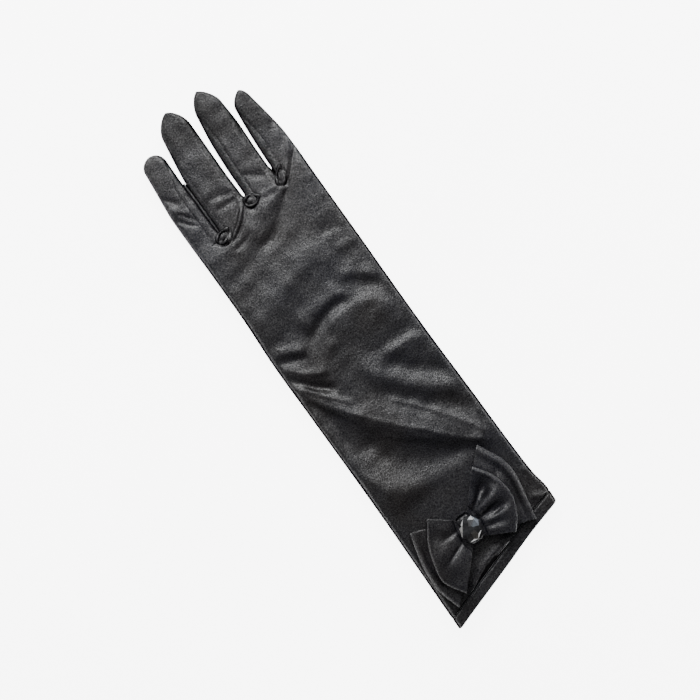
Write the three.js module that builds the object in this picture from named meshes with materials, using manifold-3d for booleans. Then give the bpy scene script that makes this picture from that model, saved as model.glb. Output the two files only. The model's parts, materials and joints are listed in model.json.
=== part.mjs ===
// A girl's long dress glove of black satin, lying flat with the back of the hand up:
// a one-piece trank with gussets between the fingers, a thumb tucked under the palm,
// a slanted turned hem, and a two-layer bow with a knot and a clear oval stone.
// Millimetres. +Y runs to the fingertips, +X to the index finger, +Z up, and the glove lies on z = 0.

import * as THREE from "three";
import { mergeVertices } from "three/addons/utils/BufferGeometryUtils.js";
import Module from "manifold-3d";

const wasm = await Module();
wasm.setup();

// Cloth and heights
const WALL = 1.0;
const GAP = 0.3;
const SLEEVE_HEIGHT = 11.0;
const FINGER_HEIGHT = 10.0;
const BOW_BED_HEIGHT = 10.5;
const SIDE_LINE = 0.42; // height of the side edges, as a share of the section's height
const SIDE_ROUND = 6.0; // how far the round side reaches in over the sleeve
const FINGER_TOP_POWER = 2.3;
const FINGER_BOTTOM_POWER = 3.6;
const WEB_BLEND = 25; // the length over which the four finger lobes merge into the back of the hand
const WEB_DROP = 1.8; // how far the inner webs lie below the outer ones, in wall thicknesses

// The hand and the sleeve seen from above, a row for each section
const SIDES = [
  { y: -166, left: -43.3, right: 43.0 },
  { y: -150, left: -43.0, right: 43.0 },
  { y: -138, left: -42.7, right: 43.1 },
  { y: -128, left: -42.4, right: 43.3 },
  { y: -118, left: -42.2, right: 41.8 },
  { y: -95, left: -41.6, right: 41.1 },
  { y: -60, left: -41.2, right: 40.9 },
  { y: -20, left: -41.1, right: 40.4 },
  { y: 15, left: -41.0, right: 40.6 },
  { y: 45, left: -39.6, right: 41.0 },
  { y: 75, left: -39.2, right: 41.2 },
  { y: 95, left: -39.2, right: 41.4 },
  { y: 107, left: -39.2, right: 41.6 },
];

// The slanted cuff edge
const CUFF_EDGE = [
  { x: -43.3, y: -165.0 },
  { x: -30, y: -160.6 },
  { x: 0, y: -151.2 },
  { x: 20, y: -144.6 },
  { x: 43.3, y: -138.2 },
];
const HEM_WIDTH = 7.5;
const HEM_WALL = 1.5;

// The ends of the gaps between the fingers, and the outer ends of the line that joins them
const WEBS = [
  { x: -39.2, y: 95.0 },
  { x: -21.7, y: 94.0 },
  { x: 1.8, y: 100.5 },
  { x: 23.1, y: 105.0 },
  { x: 41.5, y: 107.0 },
];

// Each finger seen from above: its sides at four sections and its tip
const FINGERS = [
  {
    name: "little",
    tip: { x: -28.6, y: 150.4 },
    sides: [
      { y: 98, left: -39.2, right: -22.1 },
      { y: 115, left: -39.0, right: -22.2 },
      { y: 130, left: -37.5, right: -22.2 },
      { y: 143.5, left: -36.1, right: -21.9 },
    ],
  },
  {
    name: "ring",
    tip: { x: -6.8, y: 165.0 },
    sides: [
      { y: 98, left: -21.3, right: 1.2 },
      { y: 118, left: -21.2, right: 0.8 },
      { y: 138, left: -19.4, right: 1.1 },
      { y: 153, left: -17.0, right: 1.3 },
    ],
  },
  {
    name: "middle",
    tip: { x: 14.2, y: 164.6 },
    sides: [
      { y: 104, left: 2.3, right: 22.5 },
      { y: 120, left: 2.7, right: 22.7 },
      { y: 138, left: 4.0, right: 23.3 },
      { y: 153, left: 6.2, right: 22.6 },
    ],
  },
  {
    name: "index",
    tip: { x: 33.6, y: 151.6 },
    sides: [
      { y: 109, left: 23.5, right: 41.5 },
      { y: 120, left: 24.0, right: 41.2 },
      { y: 133, left: 25.0, right: 39.5 },
      { y: 144, left: 26.2, right: 37.7 },
    ],
  },
];
const TIP_POWER = 2.5;
const TIP_HEIGHT = 0.55; // the height that is left at a fingertip's end, as a share

// Folds of the upper cloth: a line from 1 to 2 whose middle is bowed sideways by sag,
// how far the fold reaches to each side, and how high it stands (valleys are negative)
const FOLDS = [
  { x1: -39, y1: -3, x2: -16, y2: -40, sag: 1.0, reach: 4.0, height: 1.9 },
  { x1: -18, y1: -37, x2: 33, y2: -88, sag: 3.0, reach: 5.0, height: 2.1 },
  { x1: -36, y1: 2, x2: -15, y2: -30, sag: 1.0, reach: 3.0, height: 0.9 },
  { x1: -42, y1: 8, x2: -20, y2: -16, sag: 0.5, reach: 2.6, height: -1.1 },
  { x1: -36, y1: -10, x2: -26, y2: -55, sag: 3.0, reach: 8.0, height: -1.2 },
  { x1: -26, y1: -55, x2: 20, y2: -86, sag: 6.0, reach: 9.0, height: -1.2 },
  { x1: -40, y1: -52, x2: -6, y2: -91, sag: 5.0, reach: 8.0, height: 1.5 },
  { x1: -2, y1: -17, x2: 38, y2: -54, sag: -1.5, reach: 7.0, height: 1.5 },
  { x1: 2, y1: -38, x2: 38, y2: -65, sag: 2.0, reach: 6.0, height: -0.9 },
  { x1: 14, y1: -17, x2: 38, y2: -38, sag: 2.0, reach: 6.0, height: -0.8 },
  { x1: 14, y1: -17, x2: 38, y2: -21, sag: -1.0, reach: 5.0, height: 0.9 },
  { x1: -4, y1: 14, x2: 33, y2: 8, sag: -6.0, reach: 5.0, height: 1.0 },
  { x1: 3, y1: 3, x2: 30, y2: -3, sag: 0.0, reach: 8.0, height: -1.0 },
  { x1: 20, y1: 34, x2: 38, y2: 22, sag: -1.0, reach: 4.0, height: 1.0 },
  { x1: 22, y1: 26, x2: 37, y2: 17, sag: 0.0, reach: 5.0, height: -0.8 },
  { x1: -38, y1: 20, x2: -22, y2: 11, sag: -0.5, reach: 3.5, height: 0.9 },
  { x1: -16, y1: 16, x2: 14, y2: 24, sag: -2.5, reach: 4.0, height: -1.0 },
  { x1: -37, y1: 32, x2: 4, y2: 43, sag: -4.0, reach: 8.0, height: -0.9 },
  { x1: -30, y1: 50, x2: 22, y2: 42, sag: -5.0, reach: 8.0, height: 0.9 },
  { x1: -34, y1: 64, x2: 21, y2: 89, sag: 5.0, reach: 5.0, height: -1.0 },
  { x1: -16, y1: 89, x2: 0, y2: 99, sag: 1.5, reach: 2.5, height: 0.8 },
  { x1: 20, y1: 91, x2: 38, y2: 112, sag: 1.0, reach: 2.5, height: -0.7 },
];
const FOLD_EDGE = 9; // the folds fade out over this distance from the sleeve's side
const FOLD_END = 0.12; // and over this share of their length at each end

// The cloth is one piece from cuff to fingertips. It is divided here into these lengths and the four
// finger tubes, so that each is short enough to be told open inside.
const SHELL_LENGTHS = [
  { name: "sleeve_lower", left: -60, right: 60, from: -180, to: -80 },
  { name: "sleeve_upper", left: -60, right: 60, from: -80, to: 5 },
  { name: "hand", left: -60, right: 60, from: 5, to: 108 },
  { name: "little_finger", left: -60, right: -21, from: 108, to: 180 },
  { name: "ring_finger", left: -21, right: 3, from: 108, to: 180 },
  { name: "middle_finger", left: 3, right: 24, from: 108, to: 180 },
  { name: "index_finger", left: 24, right: 60, from: 108, to: 180 },
];

// The bow lies across the sleeve about this point, where the cloth below it is pressed flat
const BOW = { x: -5.3, y: -121.5 };
const BOW_BED = { x: 0, y: -121, across: 60, along: 42, fade: 0.35 };

// The thumb, folded flat under the palm, from its root to its tip
const THUMB = { rootX: 23, rootY: 30, tipX: 12, tipY: 86, rootWidth: 19, tipWidth: 14, height: 2.5 };
const THUMB_WALL = 1.0;
const THUMB_HOLE = { along: 0.27, halfLength: 9, halfWidth: 6 };
const THUMB_CLEAR = 1.5;
const THUMB_FADE = 8;
const THUMB_STATIONS = [0, 0.33, 0.67, 1];
const THUMB_END_TURNS = [80, 50, 25];
const THUMB_FLATNESS = { across: 0.8, thick: 0.45, end: 0.4 }; // powers of the section's sine and cosine

// Gussets between the fingers: their round end, their width beside each finger and their top end
const FOURCHETTES = [
  { between: "little_ring", web: 1, x: -21.3, y: 89.6, rx: 4.6, ry: 4.0, left: 6.0, right: 3.6, top: 139 },
  { between: "ring_middle", web: 2, x: 3.1, y: 97.9, rx: 4.2, ry: 4.1, left: 2.3, right: 4.6, top: 147 },
  { between: "middle_index", web: 3, x: 24.0, y: 97.8, rx: 3.4, ry: 4.8, left: 2.4, right: 4.6, top: 139 },
];

const GUSSET_STATIONS = [0, 0.3, 0.55, 0.8, 1];
const CUT_BOTTOM = -5; // cuts run from below the floor to above the stone
const CUT_TOP = 30;

// Each bow loop is a row of ribs from the waist (inY beside the centre) to the outer fold (outX, outY)
const BOW_WALL = 1.0;
const WAIST_HALF = 2.5;
const WAIST_LENGTH = 18;
const WAIST_THICK = 2.6;
const BACK_WAIST_Z = 13.4;
const FRONT_WAIST_Z = 16.4;
const BACK_LOOPS = {
  outerZ: 13.5,
  outerHalf: 2.6,
  pleat: 0,
  right: [
    { inY: -6.8, outX: 33.5, outY: -17.6 },
    { inY: -3.6, outX: 35.6, outY: -7.0 },
    { inY: 0.0, outX: 38.6, outY: 8.5 },
    { inY: 3.6, outX: 37.6, outY: 20.0 },
    { inY: 6.8, outX: 30.6, outY: 35.6 },
  ],
  left: [
    { inY: 6.8, outX: -28.9, outY: 17.2 },
    { inY: 3.6, outX: -32.4, outY: 5.3 },
    { inY: 0.0, outX: -34.8, outY: -6.5 },
    { inY: -3.6, outX: -34.8, outY: -18.5 },
    { inY: -6.8, outX: -30.9, outY: -32.6 },
  ],
};
const FRONT_LOOPS = {
  outerZ: 18.8,
  outerHalf: 2.3,
  pleat: 0.9,
  right: [
    { inY: -6.8, outX: 20.1, outY: -16.2 },
    { inY: -3.6, outX: 26.2, outY: -8.6 },
    { inY: 0.0, outX: 30.2, outY: 2.5 },
    { inY: 3.6, outX: 28.8, outY: 15.5 },
    { inY: 6.8, outX: 21.5, outY: 28.0 },
  ],
  left: [
    { inY: 6.8, outX: -16.7, outY: 19.0 },
    { inY: 3.6, outX: -24.4, outY: 7.0 },
    { inY: 0.0, outX: -28.6, outY: -5.5 },
    { inY: -3.6, outX: -29.4, outY: -16.0 },
    { inY: -6.8, outX: -22.8, outY: -27.8 },
  ],
};
const PLEATS = 3;
const LOOP_POWER = 2.6;
const LOOP_HELD = 0.18; // the share of a loop's length that the knot holds flat

// The knot is a ring of ribbon round both waists
const KNOT = { width: 9.5, halfLength: 11.4, wall: 1.1, bottom: 10.8, top: 19.1, corner: 2.6 };

// The stone, an oval cut with a table, a crown and a girdle
const STONE = { halfLong: 7.5, halfShort: 6.2, turn: 54, sides: 12, seat: 19.4 };
const STONE_PROFILE = [
  { radius: 0, height: 0 },
  { radius: 0.8, height: 0 },
  { radius: 1, height: 1.2 },
  { radius: 1, height: 1.8 },
  { radius: 0.84, height: 3.1 },
  { radius: 0.58, height: 4.0 },
  { radius: 0, height: 4.0 },
];

// Mesh fineness
const PLACE_PASSES = 3; // a column's x and y depend on each other, so they are worked out in turns
const FINGER_COLUMNS = 5;
const COLUMNS = FINGER_COLUMNS * FINGERS.length;
const ROUND_COLUMNS = 3;
const KNOT_CORNER_STEPS = 4;
const THUMB_SIDES = 12;
const LOOP_SIDES = 10;
const LOOP_STEPS = 7;
const OVAL_SIDES = 12;
const SLEEVE_ROWS = 24;
const FINGER_STEPS = [0.06, 0.36, 0.68, 1];
const TIP_STEPS = [0.4, 0.72, 0.94];

const MATERIALS = {
  satin: { color: 0x2b2b30, roughness: 0.45, metalness: 0 },
  gusset: { color: 0x242428, roughness: 0.5, metalness: 0 },
  ribbon: { color: 0x303036, roughness: 0.4, metalness: 0 },
  crystal: { color: 0xb4bcc4, roughness: 0.08, metalness: 0 },
};

function clamp01(value) {
  return Math.min(1, Math.max(0, value));
}

function mix(a, b, share) {
  return a + (b - a) * share;
}

function smooth(value) {
  const t = clamp01(value);
  return t * t * (3 - 2 * t);
}

// A smooth curve through a table's rows: the column named out as a function of the column named by.
function follow(rows, by, out, at) {
  const last = rows.length - 1;
  if (at <= rows[0][by]) return rows[0][out];
  if (at >= rows[last][by]) return rows[last][out];
  const i = rows.findIndex((row, n) => n < last && at < rows[n + 1][by]);
  const slope = (n) => {
    const before = rows[Math.max(0, n - 1)];
    const after = rows[Math.min(last, n + 1)];
    return (after[out] - before[out]) / (after[by] - before[by]);
  };
  const span = rows[i + 1][by] - rows[i][by];
  const t = (at - rows[i][by]) / span;
  const a = 2 * t ** 3 - 3 * t ** 2 + 1;
  const b = t ** 3 - 2 * t ** 2 + t;
  const c = t ** 3 - t ** 2;
  return a * rows[i][out] + b * span * slope(i) + (1 - a) * rows[i + 1][out] + c * span * slope(i + 1);
}

// The height that one fold adds at a point: a round ridge along a bowed line, faded at its ends.
function foldHeight(fold, x, y) {
  const length = Math.hypot(fold.x2 - fold.x1, fold.y2 - fold.y1);
  const ux = (fold.x2 - fold.x1) / length;
  const uy = (fold.y2 - fold.y1) / length;
  const along = ((x - fold.x1) * ux + (y - fold.y1) * uy) / length;
  const across = (x - fold.x1) * uy - (y - fold.y1) * ux;
  const bowed = across - 4 * fold.sag * along * (1 - along);
  const start = smooth((along + FOLD_END) / (2 * FOLD_END));
  const end = smooth((1 + FOLD_END - along) / (2 * FOLD_END));
  return fold.height * start * end * Math.exp(-((bowed / fold.reach) ** 2));
}

// How much of the bow's flat bed a point has: 1 under the bow, 0 away from it.
function bedShare(x, y) {
  const dx = (x - BOW_BED.x) / BOW_BED.across;
  const dy = (y - BOW_BED.y) / BOW_BED.along;
  return smooth((1 - Math.hypot(dx, dy)) / BOW_BED.fade);
}

// The lift that the thumb gives to the palm's underside.
function thumbLift(x, y) {
  const ax = THUMB.tipX - THUMB.rootX;
  const ay = THUMB.tipY - THUMB.rootY;
  const along = clamp01(((x - THUMB.rootX) * ax + (y - THUMB.rootY) * ay) / (ax * ax + ay * ay));
  const away = Math.hypot(x - THUMB.rootX - along * ax, y - THUMB.rootY - along * ay);
  const half = mix(THUMB.rootWidth, THUMB.tipWidth, along) / 2 + THUMB_CLEAR;
  return (THUMB.height + GAP) * (1 - smooth((away - half) / THUMB_FADE));
}

// The line of the webs between the fingers, and the cuff's edge, as y over x.
function webLine(x) {
  return follow(WEBS, "x", "y", x);
}

function cuffLine(x) {
  return follow(CUFF_EDGE, "x", "y", x);
}

// The share of a section's height that a lobe has at a point across it.
function lobe(x, left, right, power) {
  const off = Math.min(1, Math.abs((2 * x - left - right) / (right - left)));
  return (1 - off ** power) ** (1 / power);
}

// The share of a section's height that the flat sleeve has at a distance in from its side.
function sleeveShare(inward, round) {
  const t = clamp01(1 - inward / round);
  return Math.sqrt(1 - t * t);
}

// A column of the hand or sleeve: share runs from the cuff end (0) to the webs (1).
function sleeveColumn(j, share, inset, cuffStart) {
  const finger = Math.min(FINGERS.length - 1, Math.floor(j / FINGER_COLUMNS));
  const local = (j - finger * FINGER_COLUMNS) / FINGER_COLUMNS;
  const webDrop = WEB_DROP * inset;
  let y = mix(CUFF_EDGE[0].y, WEBS[0].y, share);
  let x = 0;
  let left = 0;
  let right = 0;
  let blend = 1;
  for (let pass = 0; pass < PLACE_PASSES; pass += 1) {
    left = follow(SIDES, "y", "left", y) + inset;
    right = follow(SIDES, "y", "right", y) - inset;
    const round = SIDE_ROUND - inset;
    const webLeft = j < FINGER_COLUMNS ? left : WEBS[finger].x;
    const webRight = finger === FINGERS.length - 1 ? right : WEBS[finger + 1].x;
    const lobedX = mix(webLeft, webRight, (1 - Math.cos(Math.PI * local)) / 2);
    const flatX = sleeveX(j, left, right, round);
    blend = smooth((webLine(lobedX) - webDrop - y) / WEB_BLEND);
    x = mix(lobedX, flatX, blend);
    y = mix(cuffLine(x) + cuffStart, webLine(x) - webDrop, share);
  }
  return sectionColumn(x, y, left, right, blend, inset);
}

function sleeveX(j, left, right, round) {
  const fromLeft = Math.min(j, COLUMNS - j);
  const turn = (Math.PI / 2) * (fromLeft / ROUND_COLUMNS);
  const inward = round * (1 - Math.cos(Math.min(turn, Math.PI / 2)));
  if (fromLeft <= ROUND_COLUMNS) return j <= ROUND_COLUMNS ? left + inward : right - inward;
  const share = (j - ROUND_COLUMNS) / (COLUMNS - 2 * ROUND_COLUMNS);
  return mix(left + round, right - round, share);
}

// The upper and lower cloth at one point of the hand or sleeve.
function sectionColumn(x, y, left, right, blend, inset) {
  const inward = Math.min(x - left, right - x);
  const flat = sleeveShare(inward, SIDE_ROUND - inset);
  const webAfter = WEBS.findIndex((web, n) => n > 0 && (x <= web.x || n === FINGERS.length));
  const f = webAfter - 1;
  const lobeLeft = f === 0 ? left : WEBS[f].x;
  const lobeRight = f === FINGERS.length - 1 ? right : WEBS[f + 1].x;
  const topShare = mix(lobe(x, lobeLeft, lobeRight, FINGER_TOP_POWER), flat, blend);
  const bottomShare = mix(lobe(x, lobeLeft, lobeRight, FINGER_BOTTOM_POWER), flat, blend);
  const bed = bedShare(x, y);
  const full = mix(mix(FINGER_HEIGHT, SLEEVE_HEIGHT, blend), BOW_BED_HEIGHT, bed);
  const side = SIDE_LINE * FINGER_HEIGHT;
  const folds = FOLDS.reduce((sum, fold) => sum + foldHeight(fold, x, y), 0);
  const foldShare = smooth(inward / FOLD_EDGE) * (1 - bed) * blend;
  const top = side + (full - inset - side) * topShare + folds * foldShare;
  const bottom = side - (side - inset) * bottomShare + thumbLift(x, y) * bottomShare;
  return { x, y, top, bottom };
}

// A column of a finger: step runs from the webs (0) to where the tip starts to round (1).
function fingerColumn(f, j, step, tipStep, inset) {
  const finger = FINGERS[f];
  const capY = finger.sides[finger.sides.length - 1].y;
  const drop = WEB_DROP * inset;
  const leftY = mix(WEBS[f].y - drop, capY, step);
  const rightY = mix(WEBS[f + 1].y - drop, capY, step);
  let left = follow(finger.sides, "y", "left", leftY) + inset;
  let right = follow(finger.sides, "y", "right", rightY) - inset;
  let rise = 0;
  let height = FINGER_HEIGHT;
  if (tipStep > 0) {
    const turn = (Math.PI / 2) * tipStep;
    const narrow = Math.cos(turn) ** (2 / TIP_POWER);
    rise = (finger.tip.y - inset - capY) * Math.sin(turn) ** (2 / TIP_POWER);
    const middle = mix((left + right) / 2, finger.tip.x, Math.sin(turn) ** 2);
    const half = ((right - left) / 2) * narrow;
    left = middle - half;
    right = middle + half;
    height = FINGER_HEIGHT * mix(TIP_HEIGHT, 1, narrow);
  }
  const local = (1 - Math.cos((Math.PI * j) / FINGER_COLUMNS)) / 2;
  const x = mix(left, right, local);
  const y = mix(leftY, rightY, local) + rise;
  const side = SIDE_LINE * FINGER_HEIGHT;
  const topShare = lobe(x, left, right, FINGER_TOP_POWER);
  const bottomShare = lobe(x, left, right, FINGER_BOTTOM_POWER);
  const top = side + (height - inset - side) * topShare;
  const bottom = side - (side - inset) * bottomShare + thumbLift(x, y) * bottomShare;
  return { x, y, top, bottom };
}

// A mesh builder that shares vertices by their place.
function meshBuilder() {
  const positions = [];
  const faces = [];
  const known = new Map();
  const vertex = (point) => {
    const key = point.map((value) => Math.round(value * 1e4)).join(" ");
    if (!known.has(key)) {
      known.set(key, positions.length / 3);
      positions.push(...point);
    }
    return known.get(key);
  };
  const triangle = (a, b, c) => {
    if (a !== b && b !== c && a !== c) faces.push(a, b, c);
  };
  const quad = (a, b, c, d, flip) => {
    const [p, q, r, s] = (flip ? [d, c, b, a] : [a, b, c, d]).map(vertex);
    triangle(p, q, r);
    triangle(p, r, s);
  };
  const geometry = () => {
    const made = new THREE.BufferGeometry();
    made.setAttribute("position", new THREE.Float32BufferAttribute(positions, 3));
    made.setIndex(faces);
    return made;
  };
  return { quad, geometry };
}

// Points round a section: left edge, over the upper cloth, right edge, back under the lower cloth.
function ring(columns) {
  const upper = columns.map((c) => [c.x, c.y, c.top]);
  const lower = columns.slice(1, -1).map((c) => [c.x, c.y, c.bottom]);
  return [...upper, ...lower.reverse()];
}

function joinRings(builder, first, second, flip) {
  first.forEach((point, i) => {
    const next = (i + 1) % first.length;
    builder.quad(point, first[next], second[next], second[i], flip);
  });
}

function closeTip(builder, row, tip, flip) {
  row.forEach((point, i) => builder.quad(point, row[(i + 1) % row.length], tip, tip, flip));
}

// The upper and lower cloth meet at the side edges and, on the web row, between the lobes too.
function sleeveRing(share, inset, cuffStart) {
  const columns = [];
  for (let j = 0; j <= COLUMNS; j += 1) {
    const column = sleeveColumn(j, share, inset, cuffStart);
    const pinched = share === 1 && j % FINGER_COLUMNS === 0;
    if (pinched) {
      column.top = SIDE_LINE * FINGER_HEIGHT;
      column.bottom = column.top;
    }
    columns.push(column);
  }
  return columns;
}

// One skin of the trank: the sleeve and hand, then each finger up to its tip.
function skin(builder, inset, cuffStart, flip) {
  let row = sleeveRing(0, inset, cuffStart);
  const mouth = ring(row);
  for (let i = 1; i <= SLEEVE_ROWS; i += 1) {
    const next = sleeveRing(i / SLEEVE_ROWS, inset, cuffStart);
    joinRings(builder, ring(row), ring(next), flip);
    row = next;
  }
  FINGERS.forEach((finger, f) => {
    let lower = row.slice(f * FINGER_COLUMNS, (f + 1) * FINGER_COLUMNS + 1);
    const rings = [...FINGER_STEPS.map((s) => [s, 0]), ...TIP_STEPS.map((t) => [1, t])];
    rings.forEach(([step, tip]) => {
      const upper = [];
      for (let j = 0; j <= FINGER_COLUMNS; j += 1) upper.push(fingerColumn(f, j, step, tip, inset));
      joinRings(builder, ring(lower), ring(upper), flip);
      lower = upper;
    });
    closeTip(builder, ring(lower), [finger.tip.x, finger.tip.y - inset, SIDE_LINE * FINGER_HEIGHT], flip);
  });
  return mouth;
}

function trankGeometry() {
  const builder = meshBuilder();
  const start = HEM_WIDTH + GAP;
  const outer = skin(builder, 0, start, false);
  const inner = skin(builder, WALL, start, true);
  joinRings(builder, inner, outer, false);
  return builder.geometry();
}

// The hem: a thicker band that carries the sleeve's section on to the slanted edge.
function hemGeometry() {
  const builder = meshBuilder();
  const loop = (inset, y) => ring(sleeveRing(0, inset, y));
  const stations = [0, HEM_WIDTH / 2, HEM_WIDTH];
  for (let i = 1; i < stations.length; i += 1) {
    joinRings(builder, loop(0, stations[i - 1]), loop(0, stations[i]), false);
    joinRings(builder, loop(HEM_WALL, stations[i - 1]), loop(HEM_WALL, stations[i]), true);
  }
  joinRings(builder, loop(HEM_WALL, 0), loop(0, 0), false);
  joinRings(builder, loop(0, HEM_WIDTH), loop(HEM_WALL, HEM_WIDTH), false);
  return builder.geometry();
}

// Solids for joining and cutting
function toSolid(geometry) {
  const bare = geometry.clone();
  bare.deleteAttribute("normal");
  bare.deleteAttribute("uv");
  const merged = mergeVertices(bare, 1e-4);
  return new wasm.Manifold(
    new wasm.Mesh({
      numProp: 3,
      vertProperties: new Float32Array(merged.attributes.position.array),
      triVerts: new Uint32Array(merged.index.array),
    }),
  );
}

function toGeometry(solid) {
  const mesh = solid.getMesh();
  const geometry = new THREE.BufferGeometry();
  geometry.setAttribute("position", new THREE.BufferAttribute(mesh.vertProperties, 3));
  geometry.setIndex(new THREE.BufferAttribute(mesh.triVerts, 1));
  return geometry;
}

// An upright prism over a closed outline of [x, y] points.
function prism(outline, bottom, top) {
  const shape = new THREE.Shape(outline.map(([x, y]) => new THREE.Vector2(x, y)));
  const geometry = new THREE.ExtrudeGeometry(shape, { depth: top - bottom, bevelEnabled: false });
  geometry.translate(0, 0, bottom);
  return toSolid(geometry);
}

function ovalOutline(centreX, centreY, alongX, alongY, turn, sides) {
  const points = [];
  for (let i = 0; i < sides; i += 1) {
    const angle = (2 * Math.PI * i) / sides;
    const p = alongX * Math.cos(angle);
    const q = alongY * Math.sin(angle);
    points.push([
      centreX + p * Math.cos(turn) - q * Math.sin(turn),
      centreY + p * Math.sin(turn) + q * Math.cos(turn),
    ]);
  }
  return points;
}

// The zone that a gusset takes out of the trank, grown by the sewing gap where asked.
function gussetZone(gusset, grow) {
  const oval = ovalOutline(gusset.x, gusset.y, gusset.rx + grow, gusset.ry + grow, 0, OVAL_SIDES);
  const fingerLeft = FINGERS[gusset.web - 1];
  const fingerRight = FINGERS[gusset.web];
  const stations = GUSSET_STATIONS.map((share) => mix(gusset.y, gusset.top + grow, share));
  const leftX = (y) => follow(fingerLeft.sides, "y", "right", y) - gusset.left - grow;
  const rightX = (y) => follow(fingerRight.sides, "y", "left", y) + gusset.right + grow;
  const leftSide = stations.map((y) => [leftX(y), y]);
  const rightSide = stations.map((y) => [rightX(y), y]);
  const strip = prism([...rightSide, ...leftSide.reverse()], CUT_BOTTOM, CUT_TOP);
  return prism(oval, CUT_BOTTOM, CUT_TOP).add(strip);
}

function thumbAxis() {
  const dx = THUMB.tipX - THUMB.rootX;
  const dy = THUMB.tipY - THUMB.rootY;
  const length = Math.hypot(dx, dy);
  return { dx: dx / length, dy: dy / length, length, turn: Math.atan2(dy, dx) };
}

function thumbHoleOutline(grow) {
  const axis = thumbAxis();
  const x = mix(THUMB.rootX, THUMB.tipX, THUMB_HOLE.along);
  const y = mix(THUMB.rootY, THUMB.tipY, THUMB_HOLE.along);
  return ovalOutline(x, y, THUMB_HOLE.halfLength + grow, THUMB_HOLE.halfWidth + grow, axis.turn, OVAL_SIDES);
}

// A cosine or sine raised to a power that keeps its sign, for rounded box sections.
function signedPower(value, power) {
  return Math.sign(value) * Math.abs(value) ** power;
}

// The thumb's outer or inner skin: a flat tube with two round ends.
function thumbBody(inset) {
  const builder = meshBuilder();
  const axis = thumbAxis();
  const middle = THUMB.height / 2;
  const half = (t) => mix(THUMB.rootWidth, THUMB.tipWidth, t) / 2 - inset;
  const place = (s, across, z) => [
    THUMB.rootX + axis.dx * s - axis.dy * across,
    THUMB.rootY + axis.dy * s + axis.dx * across,
    z,
  ];
  const section = (t, degrees) => {
    const angle = THREE.MathUtils.degToRad(degrees);
    const s = axis.length * t + half(t) * Math.sin(angle);
    const width = half(t) * Math.cos(angle);
    const thick = (middle - inset) * Math.cos(angle) ** THUMB_FLATNESS.end;
    const points = [];
    for (let i = 0; i < THUMB_SIDES; i += 1) {
      const a = (2 * Math.PI * i) / THUMB_SIDES;
      const across = width * signedPower(Math.cos(a), THUMB_FLATNESS.across);
      points.push(place(s, across, middle + thick * signedPower(Math.sin(a), THUMB_FLATNESS.thick)));
    }
    return points;
  };
  const rings = [
    ...THUMB_END_TURNS.map((degrees) => section(0, -degrees)),
    ...THUMB_STATIONS.map((t) => section(t, 0)),
    ...[...THUMB_END_TURNS].reverse().map((degrees) => section(1, degrees)),
  ];
  for (let i = 1; i < rings.length; i += 1) joinRings(builder, rings[i - 1], rings[i], false);
  closeTip(builder, rings[0], place(-half(0), 0, middle), true);
  closeTip(builder, rings[rings.length - 1], place(axis.length + half(1), 0, middle), false);
  return toSolid(builder.geometry());
}

function thumbSolid() {
  const hole = prism(thumbHoleOutline(0), THUMB.height / 2, CUT_TOP);
  return thumbBody(0).subtract(thumbBody(THUMB_WALL)).subtract(hole);
}

// One bow loop: a ribbon folded back on itself, open at both side edges.
function bowLoop(ribs, layer, waistZ) {
  const builder = meshBuilder();
  const keyed = ribs.map((rib, i) => ({ ...rib, at: i / (ribs.length - 1) }));
  const side = Math.sign(ribs[0].outX);
  const section = (q, inset) => {
    const inX = side * WAIST_HALF;
    const inY = follow(keyed, "at", "inY", q);
    const outX = follow(keyed, "at", "outX", q);
    const outY = follow(keyed, "at", "outY", q);
    const length = Math.hypot(outX - inX, outY - inY);
    const points = [];
    for (let i = 0; i < LOOP_SIDES; i += 1) {
      const a = (2 * Math.PI * i) / LOOP_SIDES;
      const c = signedPower(Math.cos(a), 2 / LOOP_POWER);
      const s = signedPower(Math.sin(a), 2 / LOOP_POWER);
      const t = 0.5 + c * (0.5 - inset / length);
      const open = Math.sqrt(Math.max(0, (t - LOOP_HELD) / (1 - LOOP_HELD)));
      const half = mix(WAIST_THICK / 2, layer.outerHalf, open) - inset;
      const wave = 0.5 + 0.5 * Math.cos(2 * Math.PI * PLEATS * q);
      const pleat = 2 * layer.pleat * wave * open * (1 - t);
      points.push([
        BOW.x + mix(inX, outX, t),
        BOW.y + mix(inY, outY, t),
        mix(waistZ, layer.outerZ, open) + s * half + Math.max(0, s) * pleat,
      ]);
    }
    return points;
  };
  for (let i = 1; i <= LOOP_STEPS; i += 1) {
    const q0 = (i - 1) / LOOP_STEPS;
    const q1 = i / LOOP_STEPS;
    joinRings(builder, section(q0, 0), section(q1, 0), true);
    joinRings(builder, section(q0, BOW_WALL), section(q1, BOW_WALL), false);
  }
  joinRings(builder, section(0, BOW_WALL), section(0, 0), true);
  joinRings(builder, section(1, 0), section(1, BOW_WALL), true);
  return toSolid(builder.geometry());
}

function bowLayer(layer, waistZ) {
  const thick = WAIST_THICK / 2;
  const waist = prism(
    ovalOutline(BOW.x, BOW.y, WAIST_HALF * 2, WAIST_LENGTH / 2, 0, OVAL_SIDES),
    waistZ - thick,
    waistZ + thick,
  );
  return waist.add(bowLoop(layer.right, layer, waistZ)).add(bowLoop(layer.left, layer, waistZ));
}

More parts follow.
